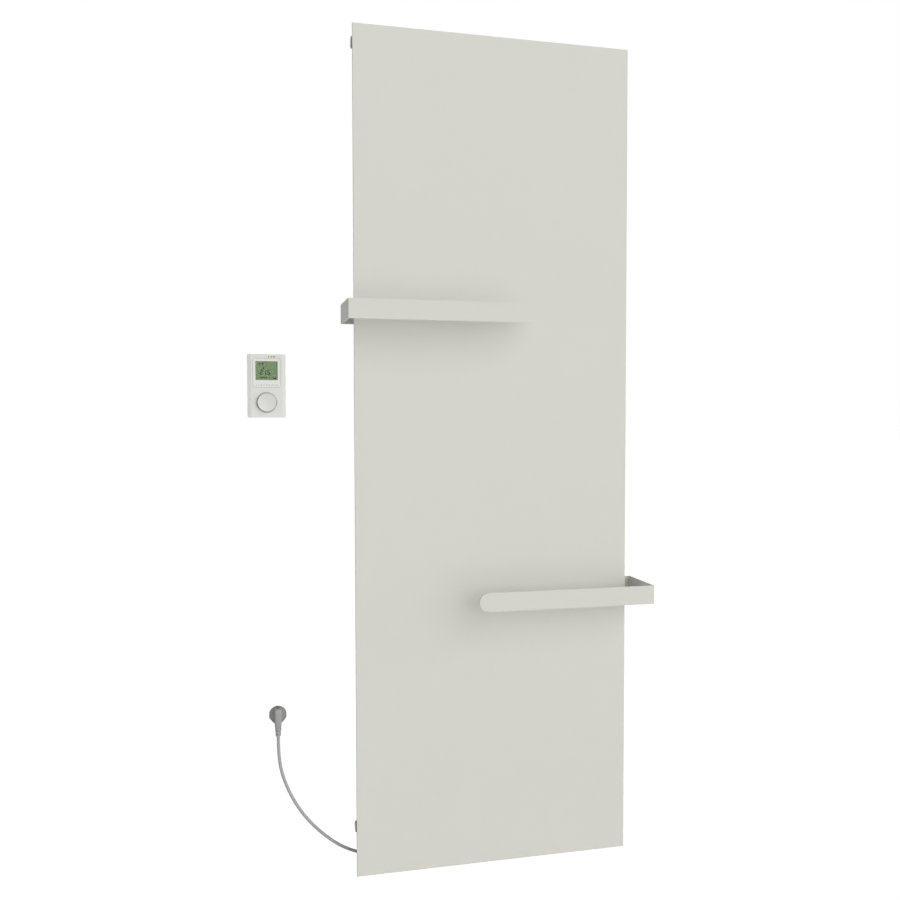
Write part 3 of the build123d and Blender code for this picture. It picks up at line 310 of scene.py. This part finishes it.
# The receiver: a moulded box and lid in dark grey, with its board, relay, clamps and supply inside,
# a pairing button and a lamp in the lid.
dress(surface("receiver_grey", (0.045, 0.045, 0.048), 0.5, mottle=0.08, mottle_size=0.02,
              grain=0.35, grain_size=0.0007), "receiver_base", "receiver_lid")
dress(surface("button_plastic", (0.20, 0.20, 0.21), 0.4, mottle=0.05, mottle_size=0.004,
              grain=0.15, grain_size=0.0005), "pairing_button")
dress(surface("lamp_green", (0.10, 0.42, 0.08), 0.15, mottle=0.1, mottle_size=0.002), "status_lamp")
dress(surface("board_green", (0.012, 0.10, 0.035), 0.3, mottle=0.2, mottle_size=0.003,
              grain=0.1, grain_size=0.001), "receiver_board", "thermostat_board")
black_plastic = surface("black_plastic", (0.018, 0.018, 0.018), 0.45, mottle=0.1, mottle_size=0.01,
                        grain=0.3, grain_size=0.0006)
dress(black_plastic, "relay", "supply_module", "button_switch", "gland_nut", "cord_peg",
      "encoder_body", "encoder_plunger")
dress(surface("clamp_plastic", (0.52, 0.52, 0.48), 0.5, mottle=0.05, mottle_size=0.01,
              grain=0.2, grain_size=0.0006), "terminal_block")
dress(plated("can_steel", (0.50, 0.50, 0.50)), "thermal_cutouts", "encoder_shaft")
for jacket, colour, leads in (("lead_jacket", (0.03, 0.06, 0.22), "element_leads"),
                              ("earth_jacket", (0.10, 0.30, 0.02), "earth_lead")):
    dress(surface(jacket, colour, 0.5, mottle=0.1, mottle_size=0.01, grain=0.1, grain_size=0.0006),
          leads)
# Real black rubber for the grommet, and the knob's painted shadow ring.
rubber_and_painted_shade = surface("rubber_and_painted_shade", (0.012, 0.012, 0.012), 0.75, mottle=0.15, mottle_size=0.005,
                      grain=0.3, grain_size=0.0004)
dress(rubber_and_painted_shade, "lead_grommet")

# The cable gland: a moulded hexagon against the box, and a fluted cap that clamps the lead.
gland_low, gland_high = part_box("cable_gland")
gland_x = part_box("receiver_base")[0].x
gland_y = (gland_low.y + gland_high.y) / 2
gland_z = (gland_low.z + gland_high.z) / 2
gland_bore = 0.0037
thread_radius = 0.0080
thread_length = 0.0063
hexagon_radius = 0.0115
hexagon_depth = 0.0050
cap_foot = 0.0098
cap_end = 0.0085
cap_depth = 0.0100
cap_flutes = 18
cap_flute_share = 0.93


def round_the_gland(vert):
    """Orders the cap's points along the gland and then by their angle round it."""
    spoke = Vector((vert.co.y - gland_y, vert.co.z - gland_z))
    return round(vert.co.x, 5), spoke.angle_signed(Vector((0, 1)))


bm = bmesh.new()
turned(bm, [(gland_bore, -thread_length), (thread_radius, -thread_length), (thread_radius, 0),
            (gland_bore, 0)], (gland_x, gland_y, gland_z), (-1, 0, 0))
seat = Matrix.Translation((gland_x, gland_y, gland_z)) @ Matrix.Rotation(-pi / 2, 4, "Y")
collar = bmesh.ops.create_circle(bm, cap_ends=True, segments=6, radius=hexagon_radius, matrix=seat)
collar_face = [f for f in bm.faces if all(v in collar["verts"] for v in f.verts)]
raised = bmesh.ops.extrude_face_region(bm, geom=collar_face)
raised_verts = [v for v in raised["geom"] if isinstance(v, bmesh.types.BMVert)]
bmesh.ops.translate(bm, verts=raised_verts, vec=(-hexagon_depth, 0, 0))
cap_middle = Matrix.Translation((0, 0, hexagon_depth + cap_depth / 2))
cap = bmesh.ops.create_cone(bm, cap_ends=True, segments=cap_flutes * 4, radius1=cap_foot,
                            radius2=cap_end, depth=cap_depth, matrix=seat @ cap_middle)
for index, vert in enumerate(sorted(cap["verts"], key=round_the_gland)):
    if index % 4 in (0, 1):
        centre = Vector((vert.co.x, gland_y, gland_z))
        vert.co = centre + (vert.co - centre) * cap_flute_share
keep(bm, "gland_cap", black_plastic, "black_plastic", "cable_gland", sharp=25)

# The supply lead: round, grey and flexible. It runs from the gland through a coil of spare length
# round a peg behind the plate, down round a hanging bend and up to its moulded plug.
cord_diameter = 0.0068
coil_centre = Vector((-0.110, -0.0314, -0.7455))
coil_radius = 0.040
coil_pitch = 0.0076
coil_turns = 2.25
points_per_turn = 16
route = [(-0.0700, -0.0485, -0.7055), (-0.0900, -0.0485, -0.7055)]
reach = coil_radius / cos(pi / points_per_turn)
steps = round(coil_turns * points_per_turn)
for step in range(steps + 1):
    turn = coil_turns * (1 - step / steps)
    angle = pi - 2 * pi * turn
    route.append(coil_centre + Vector((reach * cos(angle), -coil_pitch * turn, reach * sin(angle))))
route += [
    (-0.150, -0.0314, -0.7523),
    (-0.150, -0.0314, -0.790),
    (-0.161, -0.031, -0.832),
    (-0.181, -0.030, -0.876),
    (-0.208, -0.028, -0.908),
    (-0.242, -0.026, -0.924),
    (-0.284, -0.024, -0.916),
    (-0.328, -0.022, -0.897),
    (-0.371, -0.020, -0.862),
    (-0.407, -0.0185, -0.821),
    (-0.434, -0.017, -0.774),
    (-0.452, -0.0165, -0.724),
    (-0.457, -0.015, -0.680),
    (-0.457, -0.015, -0.646),
]
lead_line = bpy.data.curves.new("supply_lead", "CURVE")
lead_line.dimensions = "3D"
lead_line.bevel_depth = cord_diameter / 2
lead_line.bevel_resolution = 5
lead_line.resolution_u = 10
lead_line.use_fill_caps = True
spline = lead_line.splines.new("NURBS")
spline.points.add(len(route) - 1)
for point, spot in zip(spline.points, route):
    point.co = (*spot, 1)
spline.order_u = 3
spline.use_endpoint_u = True
lead_sheath = surface("lead_sheath", (0.355, 0.355, 0.347), 0.5, mottle=0.05, mottle_size=0.02,
                      grain=0.15, grain_size=0.0005)
lead_line.materials.append(lead_sheath)
supply_lead = bpy.data.objects.new("supply_lead", lead_line)
bpy.context.scene.collection.objects.link(supply_lead)
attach(supply_lead, "radiator")
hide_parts("mains_cord", "cord_coil", "cord_tail")


def slotted_relief(name, root, axis, length, wide, narrow, node, rows=4):
    """A tapered rubber sleeve with rows of slots, by turns at its sides and front, to bend evenly."""
    pitch = length / (rows + 0.5)
    slot_depth = 0.0024
    slot_edges = ((0.04, 0), (0.06, slot_depth), (0.54, slot_depth), (0.56, 0))
    slot_middle = 0.28
    front_web = 0.34
    side_web = 0.75
    tip_round = 0.0006
    tip_solid = 0.001
    floor_play = 0.0004
    outline = [(0, 0), (wide, 0)]
    for row in range(rows):
        for share, depth in slot_edges:
            along = (row + share) * pitch
            outline.append((wide + (narrow - wide) * along / length - depth, along))
    outline += [(narrow, length - tip_round), (narrow - tip_round, length), (0, length)]
    bm = bmesh.new()
    turned(bm, outline, root, axis, steps=40)
    bmesh.ops.remove_doubles(bm, verts=bm.verts, dist=1e-6)
    axis = Vector(axis)
    across = Vector((0, 1, 0)) if abs(axis.y) < 0.5 else Vector((1, 0, 0))
    for vert in bm.verts:
        along = (vert.co - Vector(root)).dot(axis)
        spoke = vert.co - Vector(root) - axis * along
        full = wide + (narrow - wide) * along / length
        turn = abs(spoke.normalized().dot(across)) if spoke.length > 1e-6 else 1
        filled = turn < front_web if round(along / pitch - slot_middle) % 2 else turn > side_web
        on_floor = abs(full - slot_depth - spoke.length) < floor_play and along < length - tip_solid
        if filled and on_floor:
            vert.co += spoke.normalized() * (full - spoke.length)
    return keep(bm, name, lead_sheath, "cord_grey", node, sharp=30)


slotted_relief("lead_sleeve", root=(-0.045, -0.0488, -0.7055), axis=(-1, 0, 0), length=0.026,
               wide=0.0060, narrow=0.0047, node="gland_sleeve", rows=5)

# A strap of woven hook-and-loop band holds the turns together at the bottom of the coil.
dress(surface("tie_band", (0.02, 0.02, 0.021), 0.85, mottle=0.3, mottle_size=0.0006,
              grain=0.8, grain_size=0.0005), "coil_tie")

# The moulded plug: a round body with flat sides, cut away below, and a raised grip of a lighter
# grey down its middle that runs out into a slotted strain relief.
plug_centre = Vector((-0.457, 0, -0.605))
plug_radius = 0.0185
plug_flat = 0.0178
plug_shoulder = 0.0172
plug_rim_depth = 0.0070
plug_rim_round = 0.0012
plug_rim_step = 0.0008
plug_crown = ((0.62, 0.0130), (0.55, 0.0136), (0.47, 0.0138))
plug_grey = surface("plug_grey", (0.250, 0.250, 0.245), 0.5, mottle=0.04, mottle_size=0.01,
                    grain=0.25, grain_size=0.0006, specular=0.15)
bm = bmesh.new()
seat = Matrix.Translation(plug_centre) @ Matrix.Rotation(pi / 2, 4, "X")
bmesh.ops.create_circle(bm, cap_ends=True, segments=72, radius=plug_radius, matrix=seat)
for normal, distance in (((1, 0, 0), plug_flat), ((-1, 0, 0), plug_flat),
                         ((0.766, 0, -0.643), plug_shoulder), ((-0.766, 0, -0.643), plug_shoulder)):
    bmesh.ops.bisect_plane(bm, geom=bm.verts[:] + bm.edges[:] + bm.faces[:], clear_outer=True,
                           plane_co=plug_centre + Vector(normal) * distance, plane_no=normal)
raised = bmesh.ops.extrude_face_region(bm, geom=bm.faces[:])
front = [part for part in raised["geom"] if isinstance(part, bmesh.types.BMVert)]
bmesh.ops.translate(bm, verts=front, vec=(0, -plug_rim_depth, 0))
front_face = [part for part in raised["geom"] if isinstance(part, bmesh.types.BMFace)]
bmesh.ops.inset_region(bm, faces=front_face, thickness=plug_rim_round, use_even_offset=True)
bmesh.ops.translate(bm, verts=front_face[0].verts, vec=(0, -plug_rim_step, 0))
last_share = 1
for share, depth in plug_crown:
    bmesh.ops.inset_region(bm, faces=front_face, thickness=0.0)
    bmesh.ops.scale(bm, verts=front_face[0].verts, vec=(share / last_share, 1, share / last_share),
                    space=Matrix.Translation(-plug_centre))
    for vert in front_face[0].verts:
        vert.co.y = -depth
    last_share = share
plug_shell = keep(bm, "plug_shell", plug_grey, "plug_grey", "plug_body", sharp=30)

grip_top = 0.0150
grip_bottom = -0.0240
grip_front = -0.0215
grip_back = -0.0010
grip_half = 0.0083
grip_end_half = 0.0068
grip_end_back = -0.0085
grip_lean = 0.0022
grip_round = 0.0048
grip_edge = 0.0008
grip_grey = surface("grip_grey", (0.315, 0.315, 0.308), 0.5, mottle=0.04, mottle_size=0.01,
                    grain=0.25, grain_size=0.0006)
bm = bmesh.new()
middle = plug_centre + Vector((0, (grip_front + grip_back) / 2, (grip_top + grip_bottom) / 2))
size = Matrix.Diagonal((2 * grip_half, grip_back - grip_front, grip_top - grip_bottom, 1))
bmesh.ops.create_cube(bm, size=1, matrix=Matrix.Translation(middle) @ size)
for vert in bm.verts:
    if vert.co.z < middle.z:
        vert.co.x = plug_centre.x + (vert.co.x - plug_centre.x) * grip_end_half / grip_half
        vert.co.y = min(vert.co.y, grip_end_back)
    elif vert.co.y < middle.y:
        vert.co.y += grip_lean
front_rim = [edge for edge in bm.edges if all(vert.co.y < middle.y for vert in edge.verts)
             and any(vert.co.z > middle.z for vert in edge.verts)]
sides = [edge for edge in bm.edges if all(vert.co.z > middle.z for vert in edge.verts)
         and edge not in front_rim]
bmesh.ops.bevel(bm, geom=front_rim + sides, offset=grip_round, segments=6, profile=0.5,
                affect="EDGES", material=-1)
corners = [edge for edge in bm.edges if edge.calc_face_angle(0) > radians(40)]
bmesh.ops.bevel(bm, geom=corners, offset=grip_edge, segments=2, profile=0.5, affect="EDGES",
                material=-1)
plug_grip = keep(bm, "plug_grip", grip_grey, "plug_grey", sharp=35)
plug_relief = slotted_relief("plug_relief", root=(-0.457, -0.015, -0.629), axis=(0, 0, -1),
                             length=0.019, wide=0.0068, narrow=0.0052, node="plug_strain_relief")
dress(plated("pin_nickel", (0.70, 0.69, 0.66), 0.2), "plug_pins")
# Painted shade: the nickel earth clip is made near black for the shade in the plug's recess around it.
dress(plated("clip_painted_shade", (0.05, 0.049, 0.045), 0.4), "plug_earth_clip")

# The radio thermostat: a shallow moulded case with sloped sides over a wall plate, with its board
# and two cells inside.
dress(surface("case_white", (0.670, 0.675, 0.640), 0.5, mottle=0.01, mottle_size=0.05,
              grain=0.2, grain_size=0.0006), "thermostat_case", "thermostat_back_plate")
dress(surface("cell_jacket", (0.02, 0.02, 0.022), 0.25, mottle=0.05, mottle_size=0.01),
      "battery_cells")

# The window: a moulded frame let into the case round a clear pane, with the green display behind it.
# Its numbers and bars are dark segments that lie on the display's glass.
dress(surface("bezel_white", (0.700, 0.705, 0.670), 0.4, mottle=0.01, mottle_size=0.03,
              grain=0.1, grain_size=0.0005), "thermostat_bezel")
dress(surface("display_green", (0.223, 0.326, 0.168), 0.6, mottle=0.04, mottle_size=0.01,
              specular=0.1), "thermostat_display")
window_clear = surface("window_clear", (0.03, 0.035, 0.03), 0.05, mottle=0.005)
window_clear.node_tree.nodes["Principled BSDF"].inputs["Alpha"].default_value = 0.06
dress(window_clear, "thermostat_lens")
segment_dark = surface("segment_dark", (0.020, 0.032, 0.017), 0.6, mottle=0.1, mottle_size=0.002,
                       specular=0.1)
pane_low, pane_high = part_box("thermostat_lens")
pane_x = (pane_low.x + pane_high.x) / 2
pane_z = (pane_low.z + pane_high.z) / 2
glass_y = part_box("thermostat_display")[0].y
ink = 0.00006
bars_of = {"0": "abcdef", "1": "bc", "2": "abged", "3": "abgcd", "5": "afgcd"}
bar_places = {"a": (0, 1, 1), "b": (0.5, 0.5, 0), "c": (0.5, -0.5, 0), "d": (0, -1, 1),
              "e": (-0.5, -0.5, 0), "f": (-0.5, 0.5, 0), "g": (0, 0, 1)}


def display_block(bm, x, z, width, height):
    """One dark block on the display's glass."""
    spot = Matrix.Translation((pane_x + x, glass_y - ink / 2, pane_z + z))
    bmesh.ops.create_cube(bm, size=1, matrix=spot @ Matrix.Diagonal((width, ink, height, 1)))


def display_number(bm, text, x, z, height):
    """Seven-segment figures from x to the right, centred on z."""
    line = height * 0.2
    long = height / 2 - line * 1.2 + line / 2
    figure_step = 0.72
    dot_step = 0.2
    for figure in text:
        if figure in ".:":
            for rise in (-1, 1) if figure == ":" else (-2,):
                lift = line / 2 if figure == "." else 0
                display_block(bm, x, z + rise * height / 4 + lift, line, line)
            x += height * dot_step
            continue
        for bar in bars_of[figure]:
            across, up, flat = bar_places[bar]
            display_block(bm, x + height * (0.25 + across * 0.5), z + up * height / 2,
                          long if flat else line, line if flat else long)
        x += height * figure_step


flame_x = -0.0062
flame_z = 0.0048
flame_radius = 0.0019
flame_tip = 0.0012
hour_bar_step = 0.00114
hour_bar_width = 0.0008
cell_mark_step = 0.0024
bm = bmesh.new()
display_number(bm, "12:30", x=-0.0172, z=0.0138, height=0.0040)
display_number(bm, "21.5", x=-0.0130, z=-0.0036, height=0.0092)
seat = Matrix.Translation((pane_x + flame_x, glass_y - ink, pane_z + flame_z))
flame = bmesh.ops.create_circle(bm, cap_ends=True, segments=20, radius=flame_radius,
                                matrix=seat @ Matrix.Rotation(pi / 2, 4, "X"))["verts"]
max(flame, key=lambda vert: vert.co.z).co.z += flame_tip
for hour in range(24):
    heated = 4 <= hour <= 16
    display_block(bm, x=-0.0170 + hour * hour_bar_step, z=-0.0142, width=hour_bar_width,
                  height=3 * hour_bar_width if heated else hour_bar_width)
for step in range(3):
    display_block(bm, x=0.0134 + step * cell_mark_step, z=-0.0154, width=0.0020, height=0.0026)
keep(bm, "display_figures", segment_dark, "display_glass")
# Painted shade: darker green strips round the display's edge, wider at the top and right, stand for the
# shadow that the window frame casts on it.
painted_shade_green = surface("painted_shade_green", (0.150, 0.228, 0.125), 0.35, mottle=0.04, mottle_size=0.01)
thin = 0.0008
half_width = (pane_high.x - pane_low.x) / 2
half_height = (pane_high.z - pane_low.z) / 2
side_height = 2 * half_height - 3 * thin
bm = bmesh.new()
for x, z, width, height in ((0, half_height - thin, 2 * half_width, 2 * thin),
                            (0, thin / 2 - half_height, 2 * half_width, thin),
                            (thin / 2 - half_width, -thin / 2, thin, side_height),
                            (half_width - thin, -thin / 2, 2 * thin, side_height)):
    display_block(bm, x, z, width, height)
keep(bm, "display_painted_shade", painted_shade_green, "display_glass")

# Printed on the frame under the window: a row of hours for the bars above it, and a row of ticks.
legend_ink = surface("legend_ink", (0.10, 0.10, 0.095), 0.6, mottle=0.1, mottle_size=0.001)
bezel_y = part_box("thermostat_bezel")[0].y
hour_height = 0.0030
hour_row = pane_low.z - 0.0122
tick_row = pane_low.z - 0.0091
tick_width = 0.00025
scale_inset = 0.0015
scale_start = pane_low.x + scale_inset
scale_length = pane_high.x - pane_low.x - 2 * scale_inset
bm = bmesh.new()
for hour in range(0, 25, 3):
    figure = bpy.data.curves.new("hour", "FONT")
    figure.body = str(hour)
    figure.align_x = "CENTER"
    figure.size = hour_height
    figure.extrude = ink / 2
    figure_object = bpy.data.objects.new("hour", figure)
    figure_mesh = bpy.data.meshes.new_from_object(figure_object)
    spot = Vector((scale_start + scale_length * hour / 24, bezel_y, hour_row))
    figure_mesh.transform(Matrix.Translation(spot) @ Matrix.Rotation(pi / 2, 4, "X"))
    bm.from_mesh(figure_mesh)
    bpy.data.objects.remove(figure_object)
for tick in range(25):
    spot = Matrix.Translation((scale_start + scale_length * tick / 24, bezel_y, tick_row))
    tall = 0.0009 if tick % 3 else 0.0016
    bmesh.ops.create_cube(bm, size=1, matrix=spot @ Matrix.Diagonal((tick_width, ink, tall, 1)))
keep(bm, "hour_scale", legend_ink, "thermostat_plastic", sharp=60)

# Three small domed lamps with a thin brim stand in the case above the window: green, amber and red.
lamp_low, lamp_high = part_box("thermostat_lamps")
lamp_z = (lamp_low.z + lamp_high.z) / 2
lamp_radius = (lamp_high.z - lamp_low.z) / 2
lamp_step = (lamp_high.x - lamp_low.x - 2 * lamp_radius) / 2
lamp_brim = 0.0017
lamp_back = 0.0022
brim_back = 0.0002
dome_rise = 0.0003
dome_height = 0.0005
dome = [(lamp_brim * sin(step * pi / 12), dome_height * (1 - cos(step * pi / 12)) - dome_rise)
        for step in range(7)]
lamp_outline = dome + [(lamp_radius, brim_back), (lamp_radius, lamp_back), (0, lamp_back)]
for index, (name, colour, nodes) in enumerate((
    ("lamp_green_small", (0.08, 0.46, 0.02), ["thermostat_lamps"]),
    ("lamp_amber", (0.62, 0.17, 0.01), []),
    ("lamp_red", (0.52, 0.03, 0.07), []),
)):
    lens_finish = surface(name, colour, 0.15, mottle=0.05, mottle_size=0.001, specular=0.1)
    shader = lens_finish.node_tree.nodes["Principled BSDF"]
    shader.inputs["Emission Color"].default_value = (*colour, 1)
    shader.inputs["Emission Strength"].default_value = 0.2
    lamp_x = lamp_low.x + lamp_radius + lamp_step * index
    bm = bmesh.new()
    turned(bm, lamp_outline, (lamp_x, lamp_low.y, lamp_z), (0, 1, 0), steps=20)
    keep(bm, f"{name}_dome", lens_finish, "lamp_lens", *nodes)

# The knob: a moulded drum with fine flutes round it and a smooth, slightly dished face, on a low skirt
# with a dark ring in the groove between them, a painted shadow of the gap. It turns and presses on the
# shaft behind it.
knob_low, knob_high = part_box("thermostat_knob")
knob_centre = Vector(((knob_low.x + knob_high.x) / 2, knob_high.y, (knob_low.z + knob_high.z) / 2))
knob_depth = knob_high.y - knob_low.y
shaft_bore = 0.0031
skirt_radius = (knob_high.x - knob_low.x) / 2
skirt_height = 0.0010
skirt_back_round = 0.0004
skirt_front_round = 0.0003
groove_radius = 0.0202
groove_floor = 0.0004
shadow_ring_top = 0.0006
drum_foot = 0.0196
drum_face = 0.0187
face_edge = ((0.0002, 0.0010), (-0.0001, 0.0003), (-0.0007, 0), (-0.0016, 0.0001))
face_dish = ((0.75, 0.0007), (0.5, 0.0013), (0.25, 0.0016), (0, 0.0017))
flute_start = 0.0016
flute_stop = knob_depth - 0.0008
flute_inside = drum_face - 0.0005
flute_depth = 0.0004
flute_count = 48
play = 0.0001
knob_white = surface("knob_white", (0.635, 0.640, 0.605), 0.42, mottle=0.01, mottle_size=0.03,
                     grain=0.1, grain_size=0.0005)
skirt = [(shaft_bore, 0), (skirt_radius - skirt_back_round, 0), (skirt_radius, skirt_back_round),
         (skirt_radius, skirt_height - skirt_front_round),
         (skirt_radius - skirt_front_round, skirt_height), (groove_radius, skirt_height),
         (groove_radius, groove_floor)]
drum = [(drum_foot, groove_floor), (drum_foot, flute_start)]
drum += [(drum_face + out, knob_depth - back) for out, back in face_edge]
drum += [(drum_face * share, knob_depth - dish) for share, dish in face_dish]
bm = bmesh.new()
turned(bm, skirt + drum, knob_centre, (0, -1, 0), steps=flute_count * 4)
for vert in bm.verts:
    along = knob_centre.y - vert.co.y
    spoke = Vector((vert.co.x - knob_centre.x, 0, vert.co.z - knob_centre.z))
    if flute_start - play < along < flute_stop and spoke.length > flute_inside:
        turn = spoke.xz.angle_signed(Vector((1, 0)))
        vert.co -= spoke.normalized() * flute_depth * (0.5 - 0.5 * cos(turn * flute_count))
keep(bm, "control_cap", knob_white, "thermostat_plastic", "thermostat_knob", body="control_knob",
     sharp=30)
# Painted shadow: a thin dark ring laid on the groove's floor round the knob's foot, where the gap's
# shade falls.
bm = bmesh.new()
turned(bm, [(drum_foot, groove_floor), (drum_foot, shadow_ring_top), (groove_radius, shadow_ring_top),
            (groove_radius, groove_floor), (drum_foot, groove_floor)],
       knob_centre, (0, -1, 0), steps=96)
keep(bm, "knob_painted_shadow", rubber_and_painted_shade, "black_plastic", body="control_knob")

# The studio: a plain white floor well below the part, white all round for the camera, and three wide
# soft sources: one in front from the right, a weaker one from below and a weak one behind.


def background_rays(holder):
    """1 for the rays that show the background: the camera's, and those in glossy or clear pieces."""
    path = add_node(holder, "ShaderNodeLightPath")
    bent = add_node(holder, "ShaderNodeMath", {"operation": "MAXIMUM"},
                    _0=path.outputs["Is Glossy Ray"], _1=path.outputs["Is Transmission Ray"])
    seen = add_node(holder, "ShaderNodeMath", {"operation": "MAXIMUM"},
                    _0=path.outputs["Is Camera Ray"], _1=bent.outputs[0])
    return seen.outputs[0]


floor_drop = 0.90
floor_reach = 60
floor_glow_level = 0.62
bm = bmesh.new()
bmesh.ops.create_grid(bm, x_segments=1, y_segments=1, size=floor_reach,
                      matrix=Matrix.Translation((0, 0, cad_box[0][2] - floor_drop)))
floor_mesh = bpy.data.meshes.new("floor")
bm.to_mesh(floor_mesh)
bm.free()
floor = bpy.data.objects.new("floor", floor_mesh)
bpy.context.scene.collection.objects.link(floor)
floor_white = bpy.data.materials.new("floor_white")
floor_white.use_nodes = True
floor_shader = floor_white.node_tree.nodes["Principled BSDF"]
floor_shader.inputs["Base Color"].default_value = (0.8, 0.8, 0.8, 1)
floor_shader.inputs["Roughness"].default_value = 0.9
floor_shader.inputs["Specular IOR Level"].default_value = 0.0
floor_lift = add_node(floor_white, "ShaderNodeMath", {"operation": "MULTIPLY"},
                      _0=background_rays(floor_white), _1=floor_glow_level)
floor_glow = add_node(floor_white, "ShaderNodeEmission", Color=(1, 1, 1, 1),
                      Strength=floor_lift.outputs[0])
floor_sum = add_node(floor_white, "ShaderNodeAddShader", _0=floor_shader.outputs[0],
                     _1=floor_glow.outputs[0])
floor_output = floor_white.node_tree.nodes["Material Output"]
floor_white.node_tree.links.new(floor_sum.outputs[0], floor_output.inputs[0])
floor_mesh.materials.append(floor_white)
floor.visible_shadow = False

ambient_level = 0.30
world = bpy.data.worlds.new("studio")
bpy.context.scene.world = world
world.use_nodes = True
sky = world.node_tree.nodes["Background"]
sky.inputs["Color"].default_value = (1, 1, 1, 1)
sky_level = add_node(world, "ShaderNodeMapRange", Value=background_rays(world), To_Min=ambient_level,
                     To_Max=1.0)
world.node_tree.links.new(sky_level.outputs["Result"], sky.inputs["Strength"])

for lamp_name, spread, level, shine in (
    ("front_light", 80, 0.86, (-0.60, 1, -0.14)),
    ("low_light", 90, 0.42, (-0.10, 1, 0.75)),
    ("back_light", 90, 0.15, (-0.3, -1, -0.3)),
):
    soft_light = bpy.data.lights.new(lamp_name, "SUN")
    soft_light.angle = radians(spread)
    soft_light.energy = level * pi
    soft_lamp = bpy.data.objects.new(lamp_name, soft_light)
    soft_lamp.rotation_euler = Vector(shine).to_track_quat("-Z", "Y").to_euler()
    bpy.context.scene.collection.objects.link(soft_lamp)

# The camera, fitted to the corners of the plate and the edges of both bars in the photograph.
photo_side = 900
focal_pixels = 1059.1
axis_pixel = (524.1, 462.3)
sensor = 36
turn_right = radians(15.668)
tilt_up = radians(-2.620)
roll = radians(0.078)
camera_place = (-0.5546, -2.2896, 0.0354)
camera_data = bpy.data.cameras.new("camera")
camera_data.sensor_width = sensor
camera_data.lens = focal_pixels * sensor / photo_side
camera_data.shift_x = (photo_side / 2 - axis_pixel[0]) / photo_side
camera_data.shift_y = (axis_pixel[1] - photo_side / 2) / photo_side
camera = bpy.data.objects.new("camera", camera_data)
camera.matrix_world = (Matrix.Translation(camera_place) @ Matrix.Rotation(-turn_right, 4, "Z")
                       @ Matrix.Rotation(pi / 2 + tilt_up, 4, "X") @ Matrix.Rotation(roll, 4, "Z"))
bpy.context.scene.collection.objects.link(camera)
bpy.context.scene.camera = camera
bpy.context.scene.view_settings.view_transform = "Standard"
